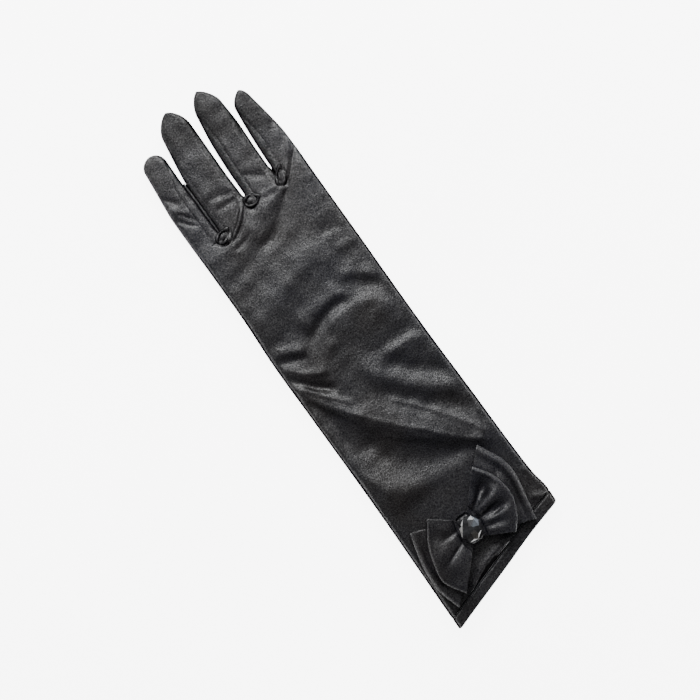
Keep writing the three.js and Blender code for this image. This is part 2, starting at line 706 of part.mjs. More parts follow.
// The knot's ring, drawn in the plane across the ribbon and given the ribbon's width.
function knotGeometry() {
  const cornerPoints = (inset) => {
    const half = KNOT.halfLength - inset;
    const radius = KNOT.corner - inset;
    const corners = [
      { x: half - radius, z: KNOT.top - inset - radius, from: 0 },
      { x: radius - half, z: KNOT.top - inset - radius, from: 1 },
      { x: radius - half, z: KNOT.bottom + inset + radius, from: 2 },
      { x: half - radius, z: KNOT.bottom + inset + radius, from: 3 },
    ];
    const points = [];
    corners.forEach(({ x, z, from }) => {
      for (let i = 0; i <= KNOT_CORNER_STEPS; i += 1) {
        const angle = (Math.PI / 2) * (from + i / KNOT_CORNER_STEPS);
        points.push(new THREE.Vector2(x + radius * Math.cos(angle), z + radius * Math.sin(angle)));
      }
    });
    return points;
  };
  const shape = new THREE.Shape(cornerPoints(0));
  shape.holes.push(new THREE.Path(cornerPoints(KNOT.wall).reverse()));
  const geometry = new THREE.ExtrudeGeometry(shape, { depth: KNOT.width, bevelEnabled: false });
  geometry.translate(0, 0, -KNOT.width / 2);
  geometry.rotateX(Math.PI / 2);
  geometry.rotateZ(Math.PI / 2);
  geometry.translate(BOW.x, BOW.y, 0);
  return geometry;
}

function stoneGeometry() {
  const profile = STONE_PROFILE.map((row) => new THREE.Vector2(row.radius, row.height));
  const geometry = new THREE.LatheGeometry(profile, STONE.sides);
  geometry.rotateX(Math.PI / 2);
  geometry.scale(STONE.halfLong, STONE.halfShort, 1);
  geometry.deleteAttribute("normal");
  geometry.deleteAttribute("uv");
  return mergeVertices(geometry, 1e-4);
}

function namedMesh(name, geometry, look) {
  const mesh = new THREE.Mesh(geometry, new THREE.MeshStandardMaterial(MATERIALS[look]));
  mesh.name = name;
  return mesh;
}

// The upright block that one length of the shell lies in, half a gap inside its borders.
function lengthZone(row) {
  const left = row.left + GAP / 2;
  const right = row.right - GAP / 2;
  const from = row.from + GAP / 2;
  const to = row.to - GAP / 2;
  return prism([[left, from], [right, from], [right, to], [left, to]], CUT_BOTTOM, CUT_TOP);
}

function buildTrankAndGussets(group) {
  let trank = toSolid(trankGeometry());
  const whole = trank;
  FOURCHETTES.forEach((gusset) => {
    trank = trank.subtract(gussetZone(gusset, GAP));
    const piece = whole.intersect(gussetZone(gusset, 0));
    group.add(namedMesh(`fourchette_${gusset.between}`, toGeometry(piece), "gusset"));
  });
  const insidePalm = THUMB.height + GAP + 2 * WALL;
  trank = trank.subtract(prism(thumbHoleOutline(GAP), CUT_BOTTOM, insidePalm));
  SHELL_LENGTHS.forEach((row) => {
    const part = trank.intersect(lengthZone(row));
    group.add(namedMesh(row.name, toGeometry(part), "satin"));
  });
}

function buildBow(group) {
  group.add(namedMesh("bow_back", toGeometry(bowLayer(BACK_LOOPS, BACK_WAIST_Z)), "ribbon"));
  group.add(namedMesh("bow_front", toGeometry(bowLayer(FRONT_LOOPS, FRONT_WAIST_Z)), "ribbon"));
  group.add(namedMesh("bow_knot", knotGeometry(), "ribbon"));
  const stone = namedMesh("stone", stoneGeometry(), "crystal");
  stone.position.set(BOW.x, BOW.y, STONE.seat);
  stone.rotation.z = THREE.MathUtils.degToRad(STONE.turn);
  group.add(stone);
}

const glove = new THREE.Group();
buildTrankAndGussets(glove);
glove.add(namedMesh("cuff_hem", hemGeometry(), "satin"));
glove.add(namedMesh("thumb", toGeometry(thumbSolid()), "satin"));
buildBow(glove);

export default glove;
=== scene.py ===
"""A girl's long dress glove of black satin, lying flat with the back of the hand up.

Every solid of the frame is replaced by a fine mesh of the same shape, with its folds, seams,
pleats and facets. Tables are in millimetres, in the frame's own axes: +Y runs to the fingertips,
+X to the index finger, +Z up from the surface that the glove lies on.
"""

import json
import math

import bpy
import numpy as np
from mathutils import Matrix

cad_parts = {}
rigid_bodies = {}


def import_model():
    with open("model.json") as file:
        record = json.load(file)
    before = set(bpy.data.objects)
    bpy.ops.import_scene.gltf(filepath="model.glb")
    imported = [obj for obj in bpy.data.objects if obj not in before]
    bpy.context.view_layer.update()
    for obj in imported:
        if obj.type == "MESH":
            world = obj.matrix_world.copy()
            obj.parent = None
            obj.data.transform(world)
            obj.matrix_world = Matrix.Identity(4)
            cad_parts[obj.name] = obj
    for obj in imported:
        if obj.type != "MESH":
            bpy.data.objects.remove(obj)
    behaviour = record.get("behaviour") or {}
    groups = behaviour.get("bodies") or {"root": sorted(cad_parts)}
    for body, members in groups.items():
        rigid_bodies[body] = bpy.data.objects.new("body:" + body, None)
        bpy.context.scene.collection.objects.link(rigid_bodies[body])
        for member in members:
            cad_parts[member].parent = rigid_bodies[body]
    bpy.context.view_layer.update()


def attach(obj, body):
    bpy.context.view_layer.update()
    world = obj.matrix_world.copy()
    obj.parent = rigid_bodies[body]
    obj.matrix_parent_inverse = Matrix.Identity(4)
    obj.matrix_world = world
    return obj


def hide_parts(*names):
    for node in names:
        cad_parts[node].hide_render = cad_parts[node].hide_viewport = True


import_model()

MM = 0.001
BODY = "root"

# The one piece of cloth from cuff to fingertips stands for these lengths of the frame
SHELL_NODES = [
    "sleeve_lower", "sleeve_upper", "hand",
    "little_finger", "ring_finger", "middle_finger", "index_finger",
]

# Cloth and heights
WALL = 1.0
GAP = 0.3
SLEEVE_HEIGHT = 11.0
FINGER_HEIGHT = 10.0
BOW_BED_HEIGHT = 10.5
SIDE_HEIGHT = 0.42 * FINGER_HEIGHT  # where the upper and the lower cloth meet at the sides
SIDE_ROUND = 3.6
SIDE_POWER = 2.5
FINGER_TOP_POWER = 5.0
FINGER_BOTTOM_POWER = 3.6
WEB_BLEND = 12.0  # over this length the hand's one arch parts into the four fingers' arches
WEB_DROP = 1.8  # how far the inner skin's webs lie below the outer skin's, as a share of its inset
WEB_JOIN = 0.06  # the share of a finger over which its sides leave the web
TIP_HEIGHT = 0.92

# The turned hem at the cuff
HEM_WIDTH = 7.5
HEM_WALL = 1.5
HEM_STITCH = 6.6  # the stitch line's distance from the cuff edge
HEM_GROOVE = 0.35
HEM_GROOVE_REACH = 0.5
HEM_EDGE_ROUND = 0.9
HEM_BACK_DROP = 0.25
HEM_BACK_REACH = 0.5

# The hand and the sleeve seen from above: y, left edge, right edge
SIDES = np.array([
    (-166, -43.3, 43.0), (-150, -43.0, 43.0), (-138, -42.7, 43.1), (-128, -42.4, 43.3),
    (-118, -42.2, 41.8), (-95, -41.6, 41.1), (-60, -41.2, 40.9), (-20, -41.1, 40.4),
    (15, -41.0, 40.6), (45, -39.6, 41.0), (75, -39.2, 41.2), (95, -39.2, 41.4), (107, -39.2, 41.6),
])
# The slanted cuff edge and the line of the webs between the fingers: x, y
CUFF_EDGE = np.array([(-43.3, -165.0), (-30, -160.6), (0, -151.2), (20, -144.6), (43.3, -138.2)])
WEBS = np.array([(-39.2, 95.0), (-21.7, 94.0), (1.8, 100.5), (23.1, 105.0), (41.5, 107.0)])

# Each finger's tip (x, y), how blunt it is (2 is an oval), and its sides at some sections: y, left, right
FINGERS = [
    {"tip": (-28.6, 150.4), "blunt": 2.1, "sides": np.array([
        (98, -39.2, -22.0), (115, -39.0, -22.0), (124, -38.2, -22.0), (130, -37.5, -22.2),
        (143.5, -36.1, -21.9)])},
    {"tip": (-6.8, 165.0), "blunt": 1.6, "sides": np.array([
        (98, -21.4, 1.2), (118, -21.4, 0.8), (126, -21.0, 0.9), (138, -19.4, 1.1),
        (153, -17.0, 1.3)])},
    {"tip": (14.2, 164.6), "blunt": 1.5, "sides": np.array([
        (104, 2.3, 22.5), (120, 2.7, 22.7), (138, 4.0, 23.3), (153, 6.2, 22.6)])},
    {"tip": (33.6, 151.6), "blunt": 1.6, "sides": np.array([
        (109, 23.5, 41.5), (120, 24.0, 41.2), (133, 25.0, 39.5), (144, 26.2, 37.7)])},
]
LAST_FINGER = len(FINGERS) - 1

# Folds of the upper cloth. Columns: start x and y, end x and y, how far the middle is bowed to the
# right of the way from start to end, reach to the right and to the left, height (valleys are
# negative), and how sharp the crest is (2 is round).
FOLDS = [
    # The long diagonal fold from the wrist to the bow, steep below and gentle above
    (-39, -3, -18, -36, 1.0, 3.5, 6.0, 1.6, 2.0),
    (-18, -37, 33, -88, 3.0, 4.5, 11.0, 2.1, 2.0),
    (-38, -8, -16, -38, 1.0, 1.0, 1.4, 0.6, 1.4),
    (-17, -37, 8, -64, 0.8, 0.9, 1.5, 0.45, 1.4),
    (6, -62, 33, -88, 1.6, 0.9, 1.5, 0.5, 1.4),
    (-35, -4, -17, -27, 0.6, 1.0, 1.3, 0.5, 1.4),
    (2, -39, 37, -88, -2.0, 1.4, 1.6, 0.5, 1.6),
    (-16, -50, 6, -68, 1.5, 1.2, 1.8, 0.35, 1.8),
    # The deep valley beside the wrist and the lip above it
    (-43, 8, -21, -15, 0.8, 2.2, 2.6, -1.9, 2.0),
    (-40, 12, -19, -5, 1.5, 1.6, 2.6, 0.7, 1.8),
    (-24, -4, -6, 7, 0.0, 3.0, 4.0, 0.6, 2.0),
    # The wide valley below the long fold and the soft ridge under it
    (-36, -10, -26, -55, 3.0, 7.0, 9.0, -1.7, 2.0),
    (-26, -52, 20, -86, 6.0, 9.0, 9.0, -2.0, 2.0),
    (-44, -58, -4, -96, 5.0, 9.0, 7.0, 1.9, 2.0),
    # Folds at the index finger's side of the wrist
    (-2, -15, 38, -56, 3.5, 5.5, 6.0, 1.1, 2.0),
    (0, -32, 38, -68, 2.0, 6.0, 6.0, -0.9, 2.0),
    (12, -20, 38, -42, 2.0, 6.0, 5.0, -1.1, 2.0),
    (14, -17, 38, -20, -1.0, 6.0, 4.0, 0.85, 2.0),
    (4, -9, 37, -12, 1.0, 4.0, 6.0, -0.6, 2.0),
    (-4, 14, 34, 4, -7.0, 13.0, 5.0, 1.3, 2.0),
    # Folds across the hand
    (20, 34, 38, 22, -1.0, 3.0, 4.0, 0.8, 2.0),
    (22, 26, 37, 17, 0.0, 4.0, 4.0, -0.6, 2.0),
    (-38, 20, -22, 12, -0.5, 2.5, 4.0, 1.0, 2.0),
    (-38, 14, -23, 8, 0.0, 2.4, 2.4, -0.7, 1.8),
    (-16, 14, 14, 21, -2.5, 3.5, 4.0, -1.1, 2.0),
    (-14, 20, 14, 27, -2.5, 3.2, 9.0, 1.1, 2.0),
    (-42, 33, 18, 54, -2.5, 10.0, 8.0, 1.5, 2.0),
    (-36, 66, 2, 74, 0.5, 4.0, 4.0, -0.5, 2.0),
    (-6, 72, 22, 92, 3.5, 4.6, 3.6, -1.0, 2.0),
    (-12, 82, 14, 91, 1.5, 3.0, 4.0, 0.4, 2.0),
    (24, 60, 39, 56, 0.0, 2.4, 4.0, -0.5, 2.0),
    (26, 48, 38, 46, 0.0, 2.4, 4.0, 0.5, 2.0),
]
# The cloth between the bow and the cuff, in the same columns
CUFF_FOLDS = [
    (-25, -151, 10, -139, -2.5, 2.0, 3.4, 2.0, 1.8),
    (-26, -154, 4, -143, -2.0, 1.6, 1.6, -0.9, 1.8),
    (-2, -145, 14, -143, -0.5, 2.0, 2.6, 1.3, 1.8),
    (10, -141, 40, -137, 1.0, 1.6, 2.0, 0.7, 1.8),
    (33, -128, 41, -133, 0.0, 2.2, 2.2, 0.8, 1.8),
    (38, -112, 42, -128, -1.0, 1.6, 1.6, 0.5, 1.8),
    (-42, -122, -38, -146, 1.0, 1.6, 1.6, 0.4, 1.8),
]
# Small creases on the fingers and around the webs, in the same columns
FINGER_CREASES = [
    (-19, 86, -3, 98, 1.5, 1.2, 1.2, 0.8, 1.8),
    (-19, 84, -2, 95.5, 1.5, 1.0, 1.0, -0.7, 1.6),
    (-16, 90, -3, 100.5, 1.0, 0.8, 0.8, -0.4, 1.6),
    (-20, 80, -8, 83, 1.0, 1.4, 1.6, -0.5, 1.8),
    (19, 90, 41, 114, 0.8, 1.0, 1.2, 0.7, 1.6),
    (21, 88.5, 43, 111, 0.8, 0.9, 0.9, -0.7, 1.6),
    (24, 86, 38, 86, -1.0, 2.4, 2.6, -0.2, 1.8),
    (8, 94, 20, 93, 0.0, 0.8, 0.8, -0.25, 1.8),
    (9, 97, 20, 96, 0.0, 0.8, 0.8, 0.25, 1.8),
    (-37, 120, -29, 112, 0.5, 1.4, 1.4, 0.4, 1.8),
    (-37, 127, -30, 119, 0.0, 1.8, 1.8, -0.5, 1.8),
    (-37, 113, -29, 103, 0.5, 1.1, 1.1, -0.6, 1.5),
    (-34, 115, -28, 105, -0.5, 1.0, 1.0, -0.5, 1.5),
    (-16, 112, -3, 107, 0.0, 2.4, 2.4, -0.5, 1.8),
    (-16, 103, -3, 103, -0.8, 2.2, 2.2, -0.5, 1.8),
    (-14, 108, -3, 105, 0.0, 1.8, 1.8, 0.3, 1.8),
    (8, 112, 18, 104, 0.0, 2.2, 2.2, -0.6, 1.8),
    (24, 112, 40, 128, 1.0, 2.0, 2.0, -0.4, 1.8),
    (-12, 131, 0, 132, -1.0, 6.0, 8.0, 0.3, 2.0),
    (8, 128, 20, 129, -1.0, 6.0, 8.0, 0.3, 2.0),
]
FOLD_EDGE = 9.0  # folds fade out over this distance from the sides
FOLD_END = 0.12  # and over this share of their length at each end
CREST_ROUND = 0.01
CREASE_EDGE = 1.4
SEAM_EDGE = 2.5
# Soft random waves of the upper cloth: height, length, seed
WAVES = [(0.12, 14.0, 3), (0.035, 5.0, 5)]
WAVES_SUMMED = 9
WAVE_SPREAD = (0.6, 1.6)

# The bow's centre, and the bed on which the cloth below it is pressed flat
BOW_X, BOW_Y = -5.3, -121.5
BED = {"x": 0.0, "y": -121.0, "across": 60.0, "along": 42.0, "fade": 0.35}
BED_PRESS = 0.8

# The thumb, folded flat under the palm
THUMB = {"root": (23.0, 30.0), "tip": (12.0, 86.0), "root_width": 19.0, "tip_width": 14.0, "height": 2.5}
THUMB_HOLE = {"along": 0.27, "half_length": 9.0, "half_width": 6.0}
THUMB_CLEAR = 1.5
THUMB_FADE = 8.0
THUMB_SIDE_POWER = 0.8
THUMB_FLAT_POWER = 0.45
THUMB_END_POWER = 0.4
CUT_TOP = 30.0

# Gussets: name, web, round end x, y, rx, ry, width beside the left and the right finger, top
GUSSETS = [
    ("fourchette_little_ring", 1, -21.3, 89.6, 4.6, 4.0, 6.0, 3.6, 147.0),
    ("fourchette_ring_middle", 2, 3.1, 97.9, 4.2, 4.1, 2.3, 4.6, 158.0),
    ("fourchette_middle_index", 3, 24.0, 97.8, 3.4, 4.8, 2.4, 4.6, 147.0),
]
GUSSET_TAPER = 26.0  # over this length at its top a gusset narrows to a point
SEAM_DEPTH = 0.28
SEAM_REACH = 0.6
LOOP_SEAM_DEPTH = 0.9
# Where the little and the ring finger touch, the first gusset's slack shuts the gap
GUSSET_SLACK = {"x": -21.7, "from": 92.5, "to": 127.0, "z": 7.6, "radius": 1.1, "point": 0.3}
SLACK_BLUNT = 0.3
SLACK_END = 0.04

# The small rolled loop at each web: x, y, half length, half width, turn in degrees
WEB_LOOPS = [
    (-21.5, 90.2, 4.9, 3.8, 25.0),
    (3.4, 97.6, 4.8, 4.2, -10.0),
    (24.2, 98.2, 5.6, 3.5, 58.0),
]
WEB_LOOP_Z = 9.5  # the height of a web loop's middle
WEB_LOOP_TUBE = 1.15
WEB_LOOP_TALL = 1.3  # the tube's height as a share of its width
WEB_LOOP_POINT = 0.35  # how far one end is drawn out to a point
WEB_LOOP_GATHER = 0.3  # how much the tube's width comes and goes
# The dome inside a web loop
DOME_INSET = 1.7  # in widths of the tube
DOME_DROP = 0.4
DOME_RISE = 1.1
DOME_TOP = 0.7
DOME_BOTTOM = -1.2
DOME_START = -0.6

# Bow loops: inner y at the waist, outer x and y, from one side edge to the other
BACK_RIGHT = [
    (-6.8, 33.5, -17.6), (-3.6, 35.6, -7.0), (0, 38.6, 8.5), (3.6, 37.6, 20.0), (6.8, 30.6, 35.6),
]
BACK_LEFT = [
    (6.8, -28.9, 17.2), (3.6, -32.4, 5.3), (0, -34.8, -6.5), (-3.6, -34.8, -18.5), (-6.8, -30.9, -32.6),
]
FRONT_RIGHT = [
    (-6.8, 20.1, -16.2), (-3.6, 26.2, -8.6), (0, 30.2, 2.5), (3.6, 28.8, 15.5), (6.8, 21.5, 28.0),
]
FRONT_LEFT = [
    (6.8, -16.7, 19.0), (3.6, -24.4, 7.0), (0, -28.6, -5.5), (-3.6, -29.4, -16.0), (-6.8, -22.8, -27.8),
]
# Pleats of a loop: place across the loop at the waist and at the outer fold (0 to 1),
# width as a share of the loop, height (valleys are negative), and how far out it reaches (0 to 1)
FRONT_RIGHT_PLEATS = [
    (0.16, 0.10, 0.10, 0.5, 0.8), (0.28, 0.24, 0.06, -0.6, 0.6), (0.40, 0.36, 0.09, 0.5, 0.9),
    (0.55, 0.50, 0.06, -1.3, 0.7), (0.68, 0.68, 0.09, 1.0, 0.9), (0.82, 0.82, 0.06, -0.9, 0.6),
    (0.92, 0.90, 0.06, 0.7, 0.55),
]
FRONT_LEFT_PLEATS = [
    (0.15, 0.14, 0.10, 0.5, 0.8), (0.32, 0.28, 0.055, -0.8, 0.55), (0.48, 0.45, 0.14, 0.5, 0.9),
    (0.64, 0.64, 0.05, -0.8, 0.6), (0.80, 0.82, 0.12, 0.5, 0.85),
]
BACK_PLEATS = [(0.3, 0.3, 0.08, -0.5, 0.9), (0.55, 0.55, 0.1, 0.4, 0.9), (0.75, 0.75, 0.06, -0.5, 0.9)]
# Dents and swellings of a loop: place across and along it, half widths both ways, height
FRONT_RIGHT_DENTS = [
    (0.83, 0.66, 0.10, 0.19, -3.4), (0.86, 0.93, 0.20, 0.05, 0.9), (0.45, 0.60, 0.05, 0.20, -1.5),
    (0.62, 0.60, 0.08, 0.25, 0.8), (0.25, 0.80, 0.15, 0.10, 0.5),
]
FRONT_LEFT_DENTS = [
    (0.15, 0.93, 0.22, 0.05, 0.8), (0.20, 0.75, 0.10, 0.15, -0.7), (0.50, 0.75, 0.12, 0.2, 0.6),
    (0.85, 0.80, 0.12, 0.15, -0.9),
]
BACK_DENTS = [(0.5, 0.93, 0.45, 0.045, 1.2), (0.5, 0.83, 0.45, 0.05, -1.2)]
# The bow's two layers: each loop's ribs, pleats and dents, the height of its outer fold's middle and
# of its waist, and half the outer fold's thickness
BOW_LAYERS = [
    {
        "node": "bow_back", "outer_z": 13.5, "outer_half": 2.6, "waist_z": 13.4,
        "right": (BACK_RIGHT, BACK_PLEATS, BACK_DENTS),
        "left": (BACK_LEFT, BACK_PLEATS, BACK_DENTS),
    },
    {
        "node": "bow_front", "outer_z": 18.8, "outer_half": 2.9, "waist_z": 16.4,
        "right": (FRONT_RIGHT, FRONT_RIGHT_PLEATS, FRONT_RIGHT_DENTS),
        "left": (FRONT_LEFT, FRONT_LEFT_PLEATS, FRONT_LEFT_DENTS),
    },
]
WAIST_HALF = 2.5
WAIST_LENGTH = 15.4
WAIST_THICK = 2.6
LOOP_POWER = 2.6
LOOP_HELD = 0.18  # the share of a loop's length that the waist holds flat
RIBBON_WALL = 0.6
PLEAT_FADE_OUT = 0.5
PLEAT_FADE_FROM = 0.06
PLEAT_FADE_IN = 0.3

# The band round the bow's waists
KNOT = {"width": 8.0, "half_length": 8.8, "wall": 1.1, "bottom": 10.8, "top": 19.1, "corner": 2.6}
KNOT_GATHERS = 5
KNOT_GATHER = 0.12
KNOT_EDGE_DROP = 0.8

# The stone, and its rings from below to its top facet: share of its half widths, height
STONE_HALF_LONG, STONE_HALF_SHORT = 7.5, 6.2
STONE_TURN = 54.0
STONE_SEAT = 19.4
STONE_SIDES = 8
STONE_RINGS = [(0.80, 0.0), (1.0, 1.2), (1.0, 1.8), (0.78, 2.9), (0.26, 4.0)]
STONE_WIDEST = 2  # the ring above which the facets are triangles
# Painted glints and reflections on the facets, by the way a facet faces: that way, how narrowly, their
# colour
PAINTED_FACET_GLINTS = [
    ((-0.62, 0.30, 0.72), (0.93, 0.985), (0.42, 0.42, 0.40)),
    ((0.52, 0.20, 0.83), (0.93, 0.985), (0.20, 0.23, 0.27)),
    ((0.05, -0.50, 0.86), (0.93, 0.99), (0.055, 0.052, 0.045)),
]

# Mesh fineness: columns across each finger's upper and lower cloth, rows along the sleeve and fingers
TOP_COLUMNS = 28
BOTTOM_COLUMNS = 8
SLEEVE_ROWS = 400
INNER_SLEEVE_ROWS = 70
FINGER_ROWS = 84
INNER_FINGER_ROWS = 20
TIP_ROWS = 16
INNER_TIP_ROWS = 6
TIP_ROW_POWER = 1.6  # how much closer together a fingertip's last rows are
HEM_ROWS = 40
HEM_EDGE_ROWS = 8
OVAL_SIDES = 48
SLACK_ROWS = 30
SLACK_SIDES = 10
WEB_LOOP_ROWS = 48
WEB_LOOP_SIDES = 14
DOME_ROWS = 7
THUMB_SIDES = 56
THUMB_ROWS = 60
THUMB_END_ROWS = 13
THUMB_LAST_TURN = 86.0
LOOP_ROWS = 110
LOOP_SIDES = 96
KNOT_ROWS = 44
KNOT_CORNER_POINTS = 14
KNOT_SIDE_POINTS = 16

# Places across the sleeve are numbered from 0, this many to a finger. The outer ones at each side
# lie on its rounded edge.
NUMBERS_PER_FINGER = 5
ROUND_NUMBERS = 3
LAST_NUMBER = NUMBERS_PER_FINGER * len(FINGERS)
PLACE_PASSES = 3

# Satins: a thread's dark and light colour, the weave's turn in degrees and its strength
SATINS = {
    "black_satin": ((0.003, 0.003, 0.0035), (0.020, 0.020, 0.022), 35.0, 1.0),
    "gusset_satin": ((0.003, 0.003, 0.0035), (0.018, 0.018, 0.020), -20.0, 1.0),
    "ribbon_satin": ((0.003, 0.003, 0.0035), (0.022, 0.022, 0.024), 60.0, 0.8),
    # The knot's satin is a darker copy of the ribbon's: painted shade on the knot, which lies under the
    # stone and between the loops
    "shaded_knot_satin": ((0.002, 0.002, 0.0025), (0.012, 0.012, 0.013), 60.0, 0.8),
}
SPECKLE_MIDDLE = 0.4
# The satins' noises, in cells to the metre
TINT_CELLS = 28.0
SPECKLE_CELLS = 1500.0
GLOSS_CELLS = 1300.0
ROUGH_CELLS = 900.0
THREAD_CELLS = 2200.0
GRAIN_CELLS = 1100.0
THREAD_STRETCH = 0.35
THREAD_STRENGTH, THREAD_DEPTH = 0.55, 0.00018
GRAIN_STRENGTH, GRAIN_DEPTH = 0.6, 0.00035
ROUGHNESS = (0.34, 0.5)
GLOSS = (0.05, 1.15)
# Painted shade: the cloth's colour is darker, and its gloss lower, where it turns down more steeply than
# the first of these, by its normal's height
STEEP, LEVEL = 0.62, 0.88
STEEP_SHADE = 0.4
# Painted shade: the fingertips' colour and gloss are darker beyond a line that slants across the fingers,
# in metres
TIP_SHADE_SLANT = (0.42, 1.0, 0.0)
TIP_SHADE_START, TIP_SHADE_FULL = 0.135, 0.144
TIP_SHADE_LEVEL = 0.62

# The floor, the lights and the photograph's view
FLOOR_HALF = 3000.0
FLOOR_GLOW = 8.0  # the photo's ground is burnt out to plain white
ROOM_LIGHT = 0.1
# Soft boxes that look at the glove's middle: name, direction in the floor's plane, elevation in
# degrees, distance and size in metres, power in watts
LIGHTS = [
    ("key", (0.44, 0.90), 44.0, 0.85, (0.8, 0.35), 11.2),
    ("facet_glint", (-0.81, 0.59), 36.0, 0.8, (0.30, 0.30), 0.7),
    ("overhead", (0.588, 0.809), 72.0, 1.6, (0.9, 0.9), 2.5),
]
VIEW_X, VIEW_Y = -1.0, -2.5
VIEW_TURN = -36.0
VIEW_WIDTH = 390.9
VIEW_PLANE = 8.0
LENS = 100.0
SENSOR = 36.0
NEAREST = 0.01


def mix(a, b, share):
    return a + (b - a) * share


def smooth(value):
    share = np.clip(value, 0.0, 1.0)
    return share * share * (3 - 2 * share)


def follow(table, column, at):
    """A smooth curve through a table's column against its first column, read at some places."""
    xs, ys = table[:, 0], table[:, column]
    last = len(xs) - 1
    before = np.maximum(np.arange(len(xs)) - 1, 0)
    after = np.minimum(np.arange(len(xs)) + 1, last)
    slope = (ys[after] - ys[before]) / (xs[after] - xs[before])
    inside = np.clip(at, xs[0], xs[-1])
    left = np.clip(np.searchsorted(xs, inside, side="right") - 1, 0, last - 1)
    right = left + 1
    span = xs[right] - xs[left]
    t = (inside - xs[left]) / span
    left_weight = 2 * t**3 - 3 * t**2 + 1
    left_pull = t**3 - 2 * t**2 + t
    right_pull = t**3 - t**2
    points = left_weight * ys[left] + (1 - left_weight) * ys[right]
    return points + left_pull * span * slope[left] + right_pull * span * slope[right]


def turned(cx, cy, along, across, turn):
    """x and y of a place that is given along and across an axis turned in the floor's plane."""
    x = cx + along * math.cos(turn) - across * math.sin(turn)
    y = cy + along * math.sin(turn) + across * math.cos(turn)
    return x, y


def signed_power(value, power):
    return np.sign(value) * np.abs(value) ** power


def round_angles(count):
    return np.arange(count) * 2 * math.pi / count


def fold_sum(rows, x, y):
    total = np.zeros_like(x)
    for x1, y1, x2, y2, sag, right_reach, left_reach, height, sharp in rows:
        length = math.hypot(x2 - x1, y2 - y1)
        ux, uy = (x2 - x1) / length, (y2 - y1) / length
        along = ((x - x1) * ux + (y - y1) * uy) / length
        across = (x - x1) * uy - (y - y1) * ux - 4 * sag * along * (1 - along)
        start = smooth((along + FOLD_END) / (2 * FOLD_END))
        end = smooth((1 + FOLD_END - along) / (2 * FOLD_END))
        reach = np.where(across > 0, right_reach, left_reach)
        rounded = np.sqrt((across / reach) ** 2 + CREST_ROUND)
        total += height * start * end * np.exp(-(rounded**sharp))
    return total


def ripple(x, y, size, seed):
    """Soft random waves about `size` mm long, mostly between -1 and 1, the same on every run."""
    random = np.random.default_rng(seed)
    total = np.zeros_like(x)
    for _ in range(WAVES_SUMMED):
        angle = random.uniform(0, math.pi)
        length = size * random.uniform(*WAVE_SPREAD)
        phase = random.uniform(0, 2 * math.pi)
        total += np.sin((x * math.cos(angle) + y * math.sin(angle)) * 2 * math.pi / length + phase)
    return total / math.sqrt(WAVES_SUMMED)


def bed_share(x, y):
    """How much the bow presses the cloth, from 0 to 1."""
    away = np.hypot((x - BED["x"]) / BED["across"], (y - BED["y"]) / BED["along"])
    return smooth((1 - away) / BED["fade"])


def thumb_lift(x, y):
    """How high the thumb below it lifts the palm's lower cloth."""
    (root_x, root_y), (tip_x, tip_y) = THUMB["root"], THUMB["tip"]
    dx, dy = tip_x - root_x, tip_y - root_y
    along = np.clip(((x - root_x) * dx + (y - root_y) * dy) / (dx * dx + dy * dy), 0, 1)
    away = np.hypot(x - root_x - along * dx, y - root_y - along * dy)
    half = mix(THUMB["root_width"], THUMB["tip_width"], along) / 2 + THUMB_CLEAR
    return (THUMB["height"] + GAP) * (1 - smooth((away - half) / THUMB_FADE))


def arch(x, left, right, power):
    """The arch from a left to a right edge: 0 at both edges, 1 in the middle."""
    off = np.clip(np.abs((2 * x - left - right) / (right - left)), 0, 1)
    return (1 - off**power) ** (1 / power)


def gusset_sides(gusset, y):
    """Where a gusset's two seams run, left and right, at heights y along the fingers."""
    _, web, _, _, _, _, left, right, top = gusset
    width = smooth((top - y) / GUSSET_TAPER)
    left_x = follow(FINGERS[web - 1]["sides"], 2, y) - left * width
    right_x = follow(FINGERS[web]["sides"], 1, y) + right * width
    return left_x, right_x


def in_gusset(gusset, centres):
    _, _, cx, cy, rx, ry, _, _, top = gusset
    x, y = centres[:, 0], centres[:, 1]
    left_x, right_x = gusset_sides(gusset, y)
    strip = (x > left_x) & (x < right_x) & (y > cy) & (y < top)
    return strip | (np.hypot((x - cx) / rx, (y - cy) / ry) < 1)


def seam_groove(x, y):
    """How deep the gussets' seams pull the cloth in."""
    depth = np.zeros_like(x)
    for gusset in GUSSETS:
        _, _, cx, cy, rx, ry, _, _, top = gusset
        oval = (np.hypot((x - cx) / rx, (y - cy) / ry) - 1) * min(rx, ry)
        left_x, right_x = gusset_sides(gusset, y)
        strip = np.maximum(np.maximum(left_x - x, x - right_x), np.maximum(cy - y, y - top))
        distance = np.minimum(oval, strip)
        low = smooth((cy + ry - y) / (2 * ry))
        deepest = mix(SEAM_DEPTH, LOOP_SEAM_DEPTH, low)
        depth = np.maximum(depth, deepest * np.exp(-((distance / SEAM_REACH) ** 2)))
    return depth


def upper_detail(x, y, part):
    """Seams, small creases and soft waves of the upper cloth, fading out at its side edges."""
    free = smooth(part * CREASE_EDGE) * (1 - BED_PRESS * bed_share(x, y))
    waves = sum(height * ripple(x, y, length, seed) for height, length, seed in WAVES)
    creases = fold_sum(FINGER_CREASES, x, y)
    cuff = fold_sum(CUFF_FOLDS, x, y) * smooth(part * CREASE_EDGE)
    return (waves + creases) * free + cuff - seam_groove(x, y) * smooth(part * SEAM_EDGE)


